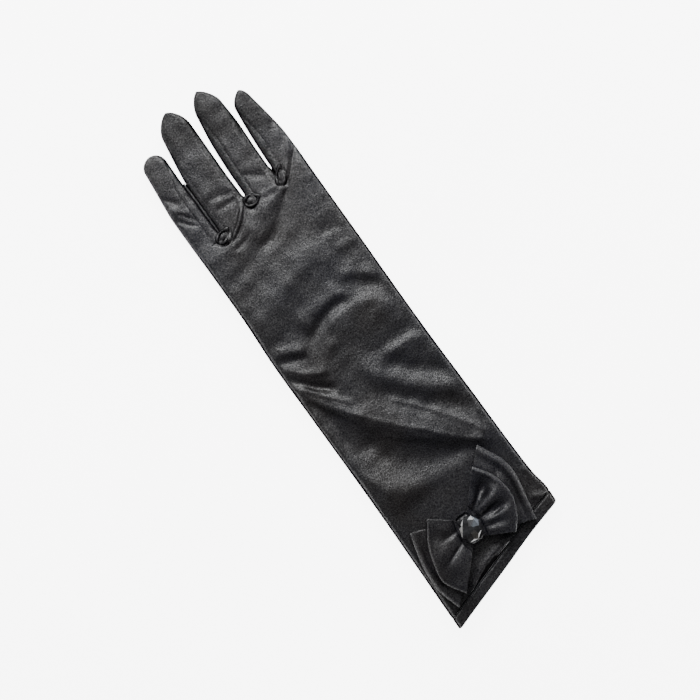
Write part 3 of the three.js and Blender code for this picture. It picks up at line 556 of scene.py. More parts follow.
class Quads:
    """Collects quads in millimetres and makes one mesh that shares their corners."""

    def __init__(self):
        self.blocks = []

    def grid(self, first, second, flip=False):
        """Joins two closed rings of points, given as arrays of the same length."""
        next_first, next_second = np.roll(first, -1, axis=0), np.roll(second, -1, axis=0)
        block = np.stack([first, next_first, next_second, second], axis=1)
        self.blocks.append(block[:, ::-1] if flip else block)

    def rings(self, rings, flip=False):
        for first, second in zip(rings[:-1], rings[1:]):
            self.grid(first, second, flip)

    def tip(self, ring, point, flip=False):
        self.grid(ring, np.tile(np.asarray(point, float), (len(ring), 1)), flip)

    def tube(self, outer, inner):
        """An outer and an inner skin of rings, closed at both ends by the wall between them."""
        self.rings(outer, True)
        self.rings(inner)
        self.grid(inner[0], outer[0], True)
        self.grid(outer[-1], inner[-1], True)

    def split(self, chosen):
        """Parts the quads in two by a test on their centres: the chosen ones, and the rest."""
        corners = np.concatenate(self.blocks)
        mask = chosen(corners.mean(axis=1))
        picked, rest = Quads(), Quads()
        picked.blocks, rest.blocks = [corners[mask]], [corners[~mask]]
        return picked, rest

    def mesh(self, name):
        """One smooth mesh, in which corners closer than a ten-thousandth of a millimetre are one."""
        corners = np.concatenate(self.blocks).reshape(-1, 3)
        keys = np.round(corners * 1e4).astype(np.int64)
        _, first, index = np.unique(keys, axis=0, return_index=True, return_inverse=True)
        faces = []
        for face in index.reshape(-1, 4).tolist():
            kept = [corner for n, corner in enumerate(face) if corner != face[n - 1]]
            if len(kept) > 2:
                faces.append(kept)
        mesh = new_mesh(name, corners[first], faces)
        mesh.shade_smooth()
        mesh.validate()
        return mesh

    def add(self, name, material=None):
        return add_object(name, self.mesh(name), material)


def new_mesh(name, corners, faces):
    """A mesh whose corners are given in millimetres."""
    mesh = bpy.data.meshes.new(name)
    mesh.from_pydata((np.array(corners, float) * MM).tolist(), [], faces)
    return mesh


def add_object(name, data, material=None):
    obj = bpy.data.objects.new(name, data)
    bpy.context.scene.collection.objects.link(obj)
    if material:
        data.materials.append(material)
    return obj


def join(name, objects):
    for obj in bpy.context.view_layer.objects:
        obj.select_set(False)
    for obj in objects:
        obj.select_set(True)
    bpy.context.view_layer.objects.active = objects[0]
    bpy.ops.object.join()
    objects[0].name = name
    objects[0].data.name = name
    return objects[0]


def cut(obj, cutter):
    """Takes the cutter's shape out of an object and deletes the cutter."""
    modifier = obj.modifiers.new("cut", "BOOLEAN")
    modifier.operation = "DIFFERENCE"
    modifier.object = cutter
    modifier.solver = "MANIFOLD"
    depsgraph = bpy.context.evaluated_depsgraph_get()
    result = bpy.data.meshes.new_from_object(obj.evaluated_get(depsgraph))
    obj.modifiers.remove(modifier)
    old_meshes = [obj.data, cutter.data]
    obj.data = result
    bpy.data.objects.remove(cutter)
    for mesh in old_meshes:
        bpy.data.meshes.remove(mesh)


def prism_mesh(name, outline, bottom, top):
    count = len(outline)
    corners = [(x, y, z) for z in (bottom, top) for x, y in outline]
    faces = [list(range(count))[::-1], list(range(count, 2 * count))]
    faces += [[i, (i + 1) % count, count + (i + 1) % count, count + i] for i in range(count)]
    return new_mesh(name, corners, faces)


def oval_outline(cx, cy, rx, ry, turn=0.0):
    angles = round_angles(OVAL_SIDES)
    x, y = turned(cx, cy, rx * np.cos(angles), ry * np.sin(angles), turn)
    return list(zip(x.tolist(), y.tolist()))


def place_numbers(per_finger):
    """The place numbers of a row's columns, with this many columns to a finger."""
    return np.arange(per_finger * len(FINGERS) + 1) / per_finger * NUMBERS_PER_FINGER


def sleeve_x(number, left, right, inset):
    """Where a place lies across the flat sleeve. The outer places are close together on its edge."""
    edge = SIDE_ROUND - inset
    from_side = np.minimum(number, LAST_NUMBER - number)
    inward = edge * (1 - np.cos(np.clip(from_side / ROUND_NUMBERS, 0, 1) * math.pi / 2))
    side_x = np.where(number < LAST_NUMBER / 2, left + inward, right - inward)
    share = (number - ROUND_NUMBERS) / (LAST_NUMBER - 2 * ROUND_NUMBERS)
    return np.where(from_side <= ROUND_NUMBERS, side_x, mix(left + edge, right - edge, share))


def sleeve_place(number, share, inset, start):
    """x, y, the sleeve's sides and the blend from four arches to one, for the places of one row."""
    finger = np.minimum(LAST_FINGER, np.floor(number / NUMBERS_PER_FINGER)).astype(int)
    local = number / NUMBERS_PER_FINGER - finger
    drop = WEB_DROP * inset
    y = np.full_like(number, mix(CUFF_EDGE[0, 1], WEBS[0, 1], share))
    for _ in range(PLACE_PASSES):
        left = follow(SIDES, 1, y) + inset
        right = follow(SIDES, 2, y) - inset
        web_left = np.where(finger == 0, left, WEBS[finger, 0])
        web_right = np.where(finger == LAST_FINGER, right, WEBS[finger + 1, 0])
        arched_x = mix(web_left, web_right, (1 - np.cos(np.pi * local)) / 2)
        blend = smooth((follow(WEBS, 1, arched_x) - drop - y) / WEB_BLEND)
        x = mix(arched_x, sleeve_x(number, left, right, inset), blend)
        cuff_y = follow(CUFF_EDGE, 1, x) + start
        y = mix(cuff_y, follow(WEBS, 1, x) - drop, share)
    return x, y, left, right, blend


def cloth_points(x, y, part, full, folds, inset, upper):
    """A row's points on the upper or the lower cloth. part is the arch's share of the full height."""
    if upper:
        z = SIDE_HEIGHT + (full - inset - SIDE_HEIGHT) * part + folds
        if inset == 0:
            z = z + upper_detail(x, y, part)
    else:
        z = SIDE_HEIGHT - (SIDE_HEIGHT - inset) * part + thumb_lift(x, y) * part
    return np.column_stack([x, y, z])


def sleeve_section(number, share, inset, start, upper):
    """One side (upper or lower cloth) of a row across the hand or sleeve."""
    x, y, left, right, blend = sleeve_place(number, share, inset, start)
    inward = np.minimum(x - left, right - x)
    from_top = np.clip(1 - inward / (SIDE_ROUND - inset), 0, 1)
    flat = (1 - from_top**SIDE_POWER) ** (1 / SIDE_POWER)
    finger = np.clip(np.searchsorted(WEBS[1:, 0], x - 1e-6), 0, LAST_FINGER)
    arch_left = np.where(finger == 0, left, WEBS[finger, 0])
    arch_right = np.where(finger == LAST_FINGER, right, WEBS[finger + 1, 0])
    power = FINGER_TOP_POWER if upper else FINGER_BOTTOM_POWER
    part = mix(arch(x, arch_left, arch_right, power), flat, blend)
    if share == 1:
        at_web = np.isin(number, NUMBERS_PER_FINGER * np.arange(len(FINGERS) + 1))
        part = np.where(at_web, 0.0, part)
    bed = bed_share(x, y)
    full = mix(mix(FINGER_HEIGHT, SLEEVE_HEIGHT, blend), BOW_BED_HEIGHT, bed)
    held = smooth(inward / FOLD_EDGE) * blend
    folds = fold_sum(FOLDS, x, y) * held * (1 - bed)
    return cloth_points(x, y, part, full, folds, inset, upper)


def finger_section(number, local, step, tip_step, inset, upper):
    """One side of a row across a finger. step goes up to where the tip starts to round."""
    finger = FINGERS[number]
    sides = finger["sides"]
    cap_y = sides[-1, 0]
    drop = WEB_DROP * inset
    left_y = mix(WEBS[number, 1] - drop, cap_y, step)
    right_y = mix(WEBS[number + 1, 1] - drop, cap_y, step)
    left = follow(sides, 1, left_y) + inset
    right = follow(sides, 2, right_y) - inset
    near = smooth(1 - step / WEB_JOIN)
    if number > 0:
        left = mix(left, WEBS[number, 0] + inset * (1 - near), near)
    if number < LAST_FINGER:
        right = mix(right, WEBS[number + 1, 0] - inset * (1 - near), near)
    rise = 0.0
    height = FINGER_HEIGHT
    if tip_step > 0:
        turn = math.pi / 2 * tip_step
        narrow = math.cos(turn) ** (2 / finger["blunt"])
        rise = (finger["tip"][1] - inset - cap_y) * math.sin(turn) ** (2 / finger["blunt"])
        middle = mix((left + right) / 2, finger["tip"][0], math.sin(turn) ** 2)
        half = (right - left) / 2 * narrow
        left, right = middle - half, middle + half
        height = FINGER_HEIGHT * mix(TIP_HEIGHT, 1, narrow)
    across = (1 - np.cos(np.pi * local)) / 2
    x = mix(left, right, across)
    y = mix(left_y, right_y, across) + rise
    part = arch(x, left, right, FINGER_TOP_POWER if upper else FINGER_BOTTOM_POWER)
    part = np.where((local == 0) | (local == 1), 0.0, part)
    return cloth_points(x, y, part, height, 0.0, inset, upper)


def closed_ring(upper, lower):
    return np.concatenate([upper, lower[1:-1][::-1]])


def sleeve_rows(share, inset, start):
    """The upper and the lower half of a ring round the sleeve."""
    upper = sleeve_section(place_numbers(TOP_COLUMNS), share, inset, start, True)
    lower = sleeve_section(place_numbers(BOTTOM_COLUMNS), share, inset, start, False)
    return upper, lower


def trank_skin(quads, inset, rows, finger_rows, tip_rows, flip):
    """The trank's outer or inner skin. Gives back its ring at the hem."""
    start = HEM_WIDTH + GAP
    halves = [sleeve_rows(share, inset, start) for share in np.linspace(0, 1, rows + 1)]
    rings = [closed_ring(*half) for half in halves]
    quads.rings(rings, flip)
    web_upper, web_lower = halves[-1]
    top_local = np.linspace(0, 1, TOP_COLUMNS + 1)
    bottom_local = np.linspace(0, 1, BOTTOM_COLUMNS + 1)
    steps = [(step, 0.0) for step in np.linspace(0, 1, finger_rows + 1)[1:]]
    to_tip = 1 - (1 - np.linspace(0, 1, tip_rows + 1)[1:-1]) ** TIP_ROW_POWER
    steps += [(1.0, tip_step) for tip_step in to_tip]
    for number, finger in enumerate(FINGERS):
        upper_part = web_upper[number * TOP_COLUMNS:(number + 1) * TOP_COLUMNS + 1]
        lower_part = web_lower[number * BOTTOM_COLUMNS:(number + 1) * BOTTOM_COLUMNS + 1]
        finger_rings = [closed_ring(upper_part, lower_part)]
        for step, tip_step in steps:
            upper = finger_section(number, top_local, step, tip_step, inset, True)
            lower = finger_section(number, bottom_local, step, tip_step, inset, False)
            finger_rings.append(closed_ring(upper, lower))
        quads.rings(finger_rings, flip)
        tip_x, tip_y = finger["tip"]
        quads.tip(finger_rings[-1], (tip_x, tip_y - inset, SIDE_HEIGHT), flip)
    return rings[0]


def thumb_hole_place():
    """The thumb hole's centre and the direction of its long axis."""
    (root_x, root_y), (tip_x, tip_y) = THUMB["root"], THUMB["tip"]
    x = mix(root_x, tip_x, THUMB_HOLE["along"])
    y = mix(root_y, tip_y, THUMB_HOLE["along"])
    return x, y, math.atan2(tip_y - root_y, tip_x - root_x)


def in_thumb_hole(centres):
    """The palm's mouth into the thumb: an oval along the thumb's axis, through the lower cloth only."""
    x, y, turn = thumb_hole_place()
    dx, dy = centres[:, 0] - x, centres[:, 1] - y
    along = dx * math.cos(turn) + dy * math.sin(turn)
    across = dy * math.cos(turn) - dx * math.sin(turn)
    oval = np.hypot(along / THUMB_HOLE["half_length"], across / THUMB_HOLE["half_width"]) < 1
    return oval & (centres[:, 2] < THUMB["height"] + GAP + 2 * WALL)


def make_trank(material, gusset_material):
    """The one piece of cloth from cuff to fingertips, and the three gussets that part from it."""
    quads = Quads()
    outer = trank_skin(quads, 0.0, SLEEVE_ROWS, FINGER_ROWS, TIP_ROWS, False)
    inner = trank_skin(quads, WALL, INNER_SLEEVE_ROWS, INNER_FINGER_ROWS, INNER_TIP_ROWS, True)
    quads.grid(inner, outer)
    for gusset, web_loop in zip(GUSSETS, WEB_LOOPS):
        picked, quads = quads.split(lambda centres: in_gusset(gusset, centres))
        strip = picked.add(gusset[0] + "_cloth", gusset_material)
        parts = [strip, make_web_loop(web_loop, gusset_material)]
        if gusset is GUSSETS[0]:
            parts.append(make_gusset_slack(gusset_material))
        piece = join(gusset[0] + "_cloth", parts)
        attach(piece, BODY)
        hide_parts(gusset[0])
    _, quads = quads.split(in_thumb_hole)
    trank = quads.add("glove_cloth", material)
    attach(trank, BODY)
    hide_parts(*SHELL_NODES)


def make_gusset_slack(material):
    """A thin roll of gusset cloth with pointed ends between two touching fingers."""
    slack = GUSSET_SLACK
    quads = Quads()
    angles = round_angles(SLACK_SIDES)
    rings = []
    for share in np.linspace(0, 1, SLACK_ROWS):
        turn = math.pi * mix(SLACK_END, 1 - SLACK_END, share)
        thick = slack["radius"] * math.sin(turn) ** SLACK_BLUNT
        y = np.full(SLACK_SIDES, mix(slack["from"], slack["to"], share))
        x, z = slack["x"] + thick * np.cos(angles), slack["z"] + thick * np.sin(angles)
        rings.append(np.column_stack([x, y, z]))
    quads.rings(rings, True)
    quads.tip(rings[0], (slack["x"], slack["from"] - slack["point"], slack["z"]))
    quads.tip(rings[-1], (slack["x"], slack["to"] + slack["point"], slack["z"]), True)
    return quads.add("gusset_slack", material)


def make_web_loop(row, material):
    """A rolled loop of gusset cloth round a small domed middle, as the seam makes at a web."""
    cx, cy, rx, ry, degrees = row
    turn = math.radians(degrees)

    def ring(along, across, z):
        x, y = turned(cx, cy, along, across, turn)
        return np.column_stack([x, y, z])

    quads = Quads()
    rings = []
    tube_angles = round_angles(WEB_LOOP_SIDES)
    for n in range(WEB_LOOP_ROWS + 1):
        angle = 2 * math.pi * (n % WEB_LOOP_ROWS) / WEB_LOOP_ROWS
        drawn = 1 + WEB_LOOP_POINT * max(0.0, math.cos(angle)) ** 4
        gather = 1 + WEB_LOOP_GATHER * (math.sin(3 * angle + 1.0) - 0.5)
        thick = WEB_LOOP_TUBE * gather
        out = thick * np.cos(tube_angles) - WEB_LOOP_TUBE
        z = WEB_LOOP_Z + WEB_LOOP_TALL * thick * np.sin(tube_angles)
        rings.append(ring((rx + out) * math.cos(angle) * drawn, (ry + out) * math.sin(angle), z))
    quads.rings(rings, True)

    dome_angles = round_angles(WEB_LOOP_ROWS)
    domes = []
    for height in [DOME_START, *np.linspace(0, math.pi / 2, DOME_ROWS + 1)[:-1]]:
        along = (rx - DOME_INSET * WEB_LOOP_TUBE) * math.cos(height) * np.cos(dome_angles)
        across = (ry - DOME_INSET * WEB_LOOP_TUBE) * math.cos(height) * np.sin(dome_angles)
        z = np.full(WEB_LOOP_ROWS, WEB_LOOP_Z - DOME_DROP + DOME_RISE * math.sin(height))
        domes.append(ring(along, across, z))
    quads.rings(domes)
    quads.tip(domes[-1], (cx, cy, WEB_LOOP_Z + DOME_TOP))
    quads.tip(domes[0], (cx, cy, WEB_LOOP_Z + DOME_BOTTOM), True)
    return quads.add("web_loop", material)


def thumb_body(name, inset):
    """The thumb's outer or inner skin: a flat tube with two round ends."""
    quads = Quads()
    (root_x, root_y), (tip_x, tip_y) = THUMB["root"], THUMB["tip"]
    length = math.hypot(tip_x - root_x, tip_y - root_y)
    dx, dy = (tip_x - root_x) / length, (tip_y - root_y) / length
    middle = THUMB["height"] / 2
    angles = round_angles(THUMB_SIDES)

    def half(share):
        return mix(THUMB["root_width"], THUMB["tip_width"], share) / 2 - inset

    def section(share, turn):
        along = length * share + half(share) * math.sin(turn)
        across = half(share) * math.cos(turn) * signed_power(np.cos(angles), THUMB_SIDE_POWER)
        thick = (middle - inset) * math.cos(turn) ** THUMB_END_POWER
        z = middle + thick * signed_power(np.sin(angles), THUMB_FLAT_POWER)
        return np.column_stack([root_x + dx * along - dy * across, root_y + dy * along + dx * across, z])

    turns = np.radians(np.linspace(0, THUMB_LAST_TURN, THUMB_END_ROWS + 1)[1:])
    rings = [section(0, -turn) for turn in turns[::-1]]
    rings += [section(share, 0) for share in np.linspace(0, 1, THUMB_ROWS)]
    rings += [section(1, turn) for turn in turns]
    quads.rings(rings)
    quads.tip(rings[0], (root_x - dx * half(0), root_y - dy * half(0), middle), True)
    quads.tip(rings[-1], (tip_x + dx * half(1), tip_y + dy * half(1), middle))
    return quads.add(name)


def make_thumb(material):
    """The collapsed thumb tube under the palm, with its mouth."""
    thumb = thumb_body("thumb_cloth", 0.0)
    cut(thumb, thumb_body("thumb_inside", WALL))
    x, y, turn = thumb_hole_place()
    outline = oval_outline(x, y, THUMB_HOLE["half_length"], THUMB_HOLE["half_width"], turn)
    mouth = prism_mesh("thumb_mouth", outline, THUMB["height"] / 2, CUT_TOP)
    cut(thumb, add_object("thumb_mouth", mouth))
    thumb.data.materials.clear()
    thumb.data.materials.append(material)
    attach(thumb, BODY)
    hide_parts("thumb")


def make_hem(material):
    """The turned hem: a padded band with a round folded edge and a stitched groove."""

    def sunk(distance):
        edge = np.clip(1 - distance / HEM_EDGE_ROUND, 0, 1)
        groove = HEM_GROOVE * math.exp(-(((distance - HEM_STITCH) / HEM_GROOVE_REACH) ** 2))
        back = np.clip(1 - (HEM_WIDTH - distance) / HEM_BACK_REACH, 0, 1)
        return HEM_WALL * 0.5 * (1 - math.sqrt(1 - edge**2)) + groove + HEM_BACK_DROP * back

    stations = np.concatenate([
        HEM_EDGE_ROUND * (1 - np.cos(np.linspace(0, math.pi / 2, HEM_EDGE_ROWS))),
        np.linspace(HEM_EDGE_ROUND, HEM_WIDTH, HEM_ROWS)[1:],
    ])
    outer, inner = [], []
    for distance in stations:
        rounded = sunk(distance) if distance < HEM_EDGE_ROUND else 0
        outer.append(closed_ring(*sleeve_rows(0, sunk(distance), distance)))
        inner.append(closed_ring(*sleeve_rows(0, HEM_WALL - rounded, distance)))
    quads = Quads()
    quads.rings(outer)
    quads.rings(inner, True)
    quads.grid(inner[0], outer[0])
    quads.grid(outer[-1], inner[-1])
    hem = quads.add("cuff_hem_cloth", material)
    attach(hem, BODY)
    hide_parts("cuff_hem")


def make_loop(name, loop, layer, material):
    """A bow loop: a ribbon folded back on itself, pleated towards the waist, open at both side edges."""
    ribs, pleats, dents = loop
    side = math.copysign(1, ribs[0][1])
    curves = np.column_stack([np.linspace(0, 1, len(ribs)), ribs])
    angles = round_angles(LOOP_SIDES)
    out = signed_power(np.cos(angles), 2 / LOOP_POWER)
    up = signed_power(np.sin(angles), 2 / LOOP_POWER)

    def section(place, inset):
        in_x, in_y = side * WAIST_HALF, follow(curves, 1, place)
        out_x, out_y = follow(curves, 2, place), follow(curves, 3, place)
        length = math.hypot(out_x - in_x, out_y - in_y)
        along = 0.5 + out * (0.5 - inset / length)
        opening = np.sqrt(np.clip((along - LOOP_HELD) / (1 - LOOP_HELD), 0, 1))
        half = mix(WAIST_THICK / 2, layer["outer_half"], opening) - inset
        lift = np.zeros_like(along)
        for at_waist, at_fold, width, height, reach in pleats:
            line = mix(at_waist, at_fold, along)
            ends = smooth((reach + PLEAT_FADE_OUT / 2 - along) / PLEAT_FADE_OUT)
            starts = smooth((along - PLEAT_FADE_FROM) / PLEAT_FADE_IN)
            lift += height * ends * starts * np.exp(-(((place - line) / width) ** 2))
        for at_place, at_along, width, length_half, height in dents:
            off = ((place - at_place) / width) ** 2 + ((along - at_along) / length_half) ** 2
            lift += height * np.exp(-off)
        z = mix(layer["waist_z"], layer["outer_z"], opening) + up * half + np.clip(up, 0, 1) * lift
        return np.column_stack([BOW_X + mix(in_x, out_x, along), BOW_Y + mix(in_y, out_y, along), z])

    places = np.linspace(0, 1, LOOP_ROWS + 1)
    quads = Quads()
    quads.tube([section(place, 0.0) for place in places], [section(place, RIBBON_WALL) for place in places])
    return quads.add(name, material)


def make_bow_layer(layer, material):
    """A layer of the bow: two loops, and the waist between them."""
    node = layer["node"]
    parts = []
    for side in ("right", "left"):
        parts.append(make_loop(node + "_" + side, layer[side], layer, material))
    outline = oval_outline(BOW_X, BOW_Y, WAIST_HALF * 2, WAIST_LENGTH / 2)
    low, high = layer["waist_z"] - WAIST_THICK / 2, layer["waist_z"] + WAIST_THICK / 2
    parts.append(add_object(node + "_waist", prism_mesh(node + "_waist", outline, low, high), material))
    ribbon = join(node + "_ribbon", parts)
    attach(ribbon, BODY)
    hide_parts(node)


def knot_path(inset):
    """The knot's cross-section, seen along x: a rectangle of y and z with round corners."""
    points = []
    half, radius = KNOT["half_length"] - inset, KNOT["corner"] - inset
    low, high = KNOT["bottom"] + inset + radius, KNOT["top"] - inset - radius
    corners = [(half - radius, high), (radius - half, high), (radius - half, low), (half - radius, low)]
    for n, (y, z) in enumerate(corners):
        for i in range(KNOT_CORNER_POINTS):
            angle = math.pi / 2 * (n + i / (KNOT_CORNER_POINTS - 1))
            points.append((y + radius * math.cos(angle), z + radius * math.sin(angle)))
        next_y, next_z = corners[(n + 1) % 4]
        turn = math.pi / 2 * (n + 1)
        start = points[-1]
        end = (next_y + radius * math.cos(turn), next_z + radius * math.sin(turn))
        for share in np.linspace(0, 1, KNOT_SIDE_POINTS)[1:-1]:
            points.append((mix(start[0], end[0], share), mix(start[1], end[1], share)))
    return np.array(points)


def make_knot(material):
    """The band round the waists: a rounded ring of ribbon with soft gathers along it."""
    outer_path, inner_path = knot_path(0.0), knot_path(KNOT["wall"])
    outward = outer_path - inner_path
    outward /= np.linalg.norm(outward, axis=1)[:, None]

    def ring(share, points, gather):
        x = BOW_X + (share - 0.5) * KNOT["width"]
        edge = abs(2 * share - 1)
        wave = KNOT_GATHER * math.cos(share * KNOT_GATHERS * math.pi)
        moved = points + outward * gather * (wave - KNOT_EDGE_DROP * edge**4)
        return np.column_stack([np.full(len(points), x), BOW_Y + moved[:, 0], moved[:, 1]])

    shares = np.linspace(0, 1, KNOT_ROWS + 1)
    quads = Quads()
    quads.tube(
        [ring(share, outer_path, 1.0) for share in shares],
        [ring(share, inner_path, 0.0) for share in shares],
    )
    knot = quads.add("bow_knot_ribbon", material)
    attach(knot, BODY)
    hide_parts("bow_knot")


def make_stone(material):
    """A flat-faceted oval: above its widest part each ring is turned by half a side against the last."""
    corners, faces = [], []
    for level, (share, height) in enumerate(STONE_RINGS):
        shift = 0.5 * max(0, level - STONE_WIDEST)
        for i in range(STONE_SIDES):
            angle = (i + shift) * 2 * math.pi / STONE_SIDES
            along = STONE_HALF_LONG * share * math.cos(angle)
            across = STONE_HALF_SHORT * share * math.sin(angle)
            x, y = turned(BOW_X, BOW_Y, along, across, math.radians(STONE_TURN))
            corners.append((x, y, STONE_SEAT + height))
    top = STONE_SIDES * (len(STONE_RINGS) - 1)
    faces.append(list(range(STONE_SIDES))[::-1])
    faces.append(list(range(top, top + STONE_SIDES)))
    for level in range(len(STONE_RINGS) - 1):
        low, high = level * STONE_SIDES, (level + 1) * STONE_SIDES
        for i in range(STONE_SIDES):
            j = (i + 1) % STONE_SIDES
            if level < STONE_WIDEST:
                faces.append([low + i, low + j, high + j, high + i])
            else:
                faces.append([low + i, low + j, high + i])
                faces.append([low + j, high + j, high + i])
    stone = add_object("cut_stone", new_mesh("cut_stone", corners, faces), material)
    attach(stone, BODY)
    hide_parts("stone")


def new_material(name):
    material = bpy.data.materials.new(name)
    material.use_nodes = True
    tree = material.node_tree
    tree.nodes.clear()
    output = tree.nodes.new("ShaderNodeOutputMaterial")
    shader = tree.nodes.new("ShaderNodeBsdfPrincipled")
    tree.links.new(shader.outputs["BSDF"], output.inputs["Surface"])
    coordinates = tree.nodes.new("ShaderNodeTexCoord").outputs["Object"]
    return material, tree, shader, coordinates


def fill(tree, node, inputs):
    """Fills a node's inputs, given by name or number, each with a link to an output or with a value."""
    for key, value in inputs.items():
        if isinstance(value, bpy.types.NodeSocket):
            tree.links.new(value, node.inputs[key])
        else:
            node.inputs[key].default_value = value
    return node


def noise(tree, scale, detail, coordinates, rough=0.5):
    node = tree.nodes.new("ShaderNodeTexNoise")
    fill(tree, node, {"Scale": scale, "Detail": detail, "Roughness": rough, "Vector": coordinates})
    return node.outputs["Fac"]


def grey(value):
    return (value, value, value)


def ramp(tree, factor, stops):
    node = tree.nodes.new("ShaderNodeValToRGB")
    elements = node.color_ramp.elements
    while len(elements) < len(stops):
        elements.new(0.5)
    for element, (position, colour) in zip(elements, stops):
        element.position = position
        element.color = (*colour, 1.0)
    tree.links.new(factor, node.inputs["Fac"])
    return node.outputs["Color"]


def mixed(tree, blend, a, b):
    node = tree.nodes.new("ShaderNodeMix")
    node.data_type = "RGBA"
    node.blend_type = blend
    fill(tree, node, {"Factor": 1.0, "A": a, "B": b})
    return node.outputs["Result"]


def multiplied(tree, a, b):
    node = tree.nodes.new("ShaderNodeMath")
    node.operation = "MULTIPLY"
    fill(tree, node, {0: a, 1: b})
    return node.outputs["Value"]


def dot(tree, vector, direction):
    node = tree.nodes.new("ShaderNodeVectorMath")
    node.operation = "DOT_PRODUCT"
    fill(tree, node, {0: vector, 1: direction})
    return node.outputs["Value"]


def mapped(tree, value, come_from, go_to):
    node = tree.nodes.new("ShaderNodeMapRange")
    fill(tree, node, {
        "Value": value, "From Min": come_from[0], "From Max": come_from[1],
        "To Min": go_to[0], "To Max": go_to[1],
    })
    return node.outputs["Result"]


def satin_material(name):
    """Stretch satin: a fine slanted weave that sparkles, a broad soft gloss and slight shifts of tint, with
    painted shade on steep faces and at the fingertips.
    """
    dark, light, turn, weave = SATINS[name]
    material, tree, shader, coordinates = new_material(name)
    normal = tree.nodes.new("ShaderNodeNewGeometry").outputs["True Normal"]
    facing = fill(tree, tree.nodes.new("ShaderNodeSeparateXYZ"), {"Vector": normal})
    level = mapped(tree, facing.outputs["Z"], (STEEP, LEVEL), (0.0, 1.0))
    # painted shade at the fingertips, beyond a slanted line
    painted_tip_shade = mapped(tree, dot(tree, coordinates, TIP_SHADE_SLANT), (TIP_SHADE_START, TIP_SHADE_FULL), (1.0, TIP_SHADE_LEVEL))

    tint = ramp(tree, noise(tree, TINT_CELLS, 2.0, coordinates), [
        (0.3, (1.16, 0.98, 0.88)), (0.5, (1.04, 0.98, 1.06)), (0.7, (0.96, 0.96, 1.22)),
    ])
    middle = tuple(mix(a, b, SPECKLE_MIDDLE) for a, b in zip(dark, light))
    speckle = ramp(tree, noise(tree, SPECKLE_CELLS, 2.0, coordinates, 0.7), [
        (0.35, dark), (0.52, middle), (0.68, light),
    ])
    # painted shade: the colour is darker on steeply turned faces
    steep_shade = ramp(tree, level, [(0.0, grey(STEEP_SHADE)), (1.0, grey(1.0))])
    colour = mixed(tree, "MULTIPLY", speckle, tint)
    colour = mixed(tree, "MULTIPLY", colour, steep_shade)
    colour = mixed(tree, "MULTIPLY", colour, painted_tip_shade)

    rough = mapped(tree, noise(tree, ROUGH_CELLS, 2.0, coordinates), (0.0, 1.0), ROUGHNESS)
    gloss = mapped(tree, noise(tree, GLOSS_CELLS, 2.0, coordinates, 0.7), (0.3, 0.7), GLOSS)
    # the gloss is lowered with the painted shade on steep faces and at the fingertips
    gloss = multiplied(tree, multiplied(tree, gloss, level), painted_tip_shade)

    along_weave = fill(tree, tree.nodes.new("ShaderNodeMapping"), {
        "Vector": coordinates, "Rotation": (0.0, 0.0, math.radians(turn)),
        "Scale": (1.0, THREAD_STRETCH, 1.0),
    })
    threads = fill(tree, tree.nodes.new("ShaderNodeBump"), {
        "Strength": THREAD_STRENGTH * weave, "Distance": THREAD_DEPTH,
        "Height": noise(tree, THREAD_CELLS, 1.0, along_weave.outputs["Vector"]),
    })
    grain = fill(tree, tree.nodes.new("ShaderNodeBump"), {
        "Strength": GRAIN_STRENGTH * weave, "Distance": GRAIN_DEPTH,
        "Height": noise(tree, GRAIN_CELLS, 3.0, coordinates, 0.65), "Normal": threads.outputs["Normal"],
    })
    fill(tree, shader, {
        "Base Color": colour, "Roughness": rough, "Specular IOR Level": gloss,
        "Normal": grain.outputs["Normal"],
    })
    return material


def crystal_material():
    """Clear grey glass, dark from above but for painted glints on the facets that face given ways."""
    material, tree, shader, coordinates = new_material("grey_crystal")
    colour = ramp(tree, noise(tree, 260.0, 2.0, coordinates), [
        (0.35, (0.008, 0.008, 0.009)), (0.65, (0.035, 0.036, 0.038)),
    ])
    glint_patches = ramp(tree, noise(tree, 400.0, 2.0, coordinates), [(0.3, grey(0.6)), (0.7, grey(1.0))])
    normal = tree.nodes.new("ShaderNodeNewGeometry").outputs["True Normal"]
    # painted glints: facets that face these ways get a bright colour, broken up by noise
    for direction, (low, high), glint_colour in PAINTED_FACET_GLINTS:
        length = math.hypot(*direction)
        aimed = dot(tree, normal, tuple(part / length for part in direction))
        painted_glint = ramp(tree, aimed, [(low, grey(0.0)), (high, glint_colour)])
        colour = mixed(tree, "ADD", colour, mixed(tree, "MULTIPLY", painted_glint, glint_patches))
    fill(tree, shader, {"Base Color": colour, "Roughness": 0.06, "IOR": 1.6})
    return material


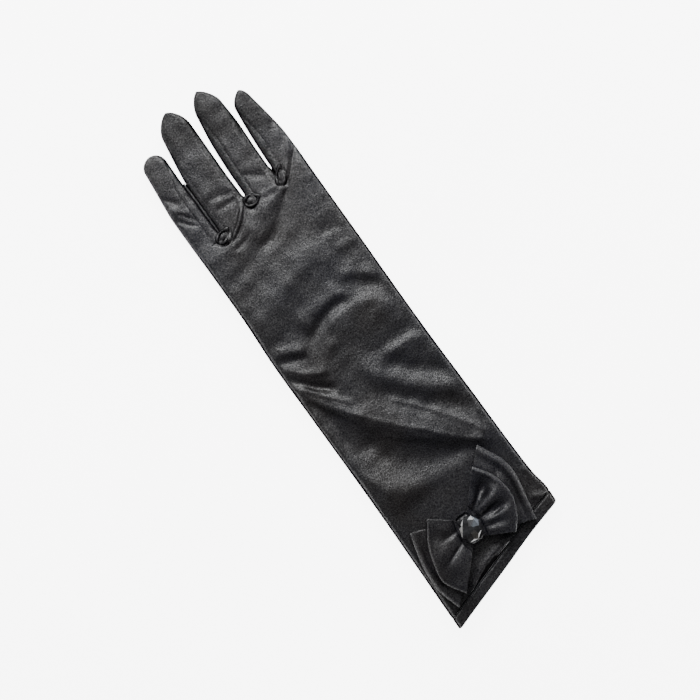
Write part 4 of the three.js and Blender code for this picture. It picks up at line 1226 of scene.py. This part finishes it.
def make_stage():
    material, tree, shader, coordinates = new_material("pale_floor")
    paper = ramp(tree, noise(tree, 6.0, 2.0, coordinates), [(0.3, grey(0.86)), (0.7, grey(0.90))])
    fill(tree, shader, {
        "Base Color": paper, "Emission Color": paper, "Emission Strength": FLOOR_GLOW, "Roughness": 0.9,
    })
    corners = [(x * FLOOR_HALF, y * FLOOR_HALF, 0) for x, y in ((-1, -1), (1, -1), (1, 1), (-1, 1))]
    floor = add_object("floor", new_mesh("floor", corners, [(0, 1, 2, 3)]), material)


def make_lights():
    for name, toward, elevation, distance, size, power in LIGHTS:
        light = bpy.data.lights.new(name, "AREA")
        light.shape = "RECTANGLE"
        light.size, light.size_y = size
        light.energy = power
        obj = add_object(name, light)
        flat = math.cos(math.radians(elevation)) * distance
        x, y = toward[0] * flat, toward[1] * flat
        z = math.sin(math.radians(elevation)) * distance
        obj.location = (x, y, z)
        obj.rotation_euler = (math.atan2(math.hypot(x, y), z), 0.0, math.atan2(x, -y))
    world = bpy.data.worlds.new("soft_room")
    world.use_nodes = True
    background = world.node_tree.nodes["Background"]
    background.inputs["Color"].default_value = (1.0, 1.0, 1.0, 1.0)
    background.inputs["Strength"].default_value = ROOM_LIGHT
    bpy.context.scene.world = world


def make_camera():
    camera = bpy.data.cameras.new("photo_view")
    camera.lens = LENS
    camera.sensor_width = SENSOR
    camera.clip_start = NEAREST
    obj = add_object("photo_view", camera)
    distance = VIEW_WIDTH * LENS / SENSOR
    obj.location = (VIEW_X * MM, VIEW_Y * MM, (VIEW_PLANE + distance) * MM)
    obj.rotation_euler = (0.0, 0.0, math.radians(VIEW_TURN))
    bpy.context.scene.camera = obj


def main():
    satin = satin_material("black_satin")
    gusset_satin = satin_material("gusset_satin")
    ribbon = satin_material("ribbon_satin")
    make_trank(satin, gusset_satin)
    make_thumb(satin)
    make_hem(satin)
    for layer in BOW_LAYERS:
        make_bow_layer(layer, ribbon)
    # the knot gets the darker satin, painted shade
    make_knot(satin_material("shaded_knot_satin"))
    make_stone(crystal_material())
    make_stage()
    make_lights()
    make_camera()


main()
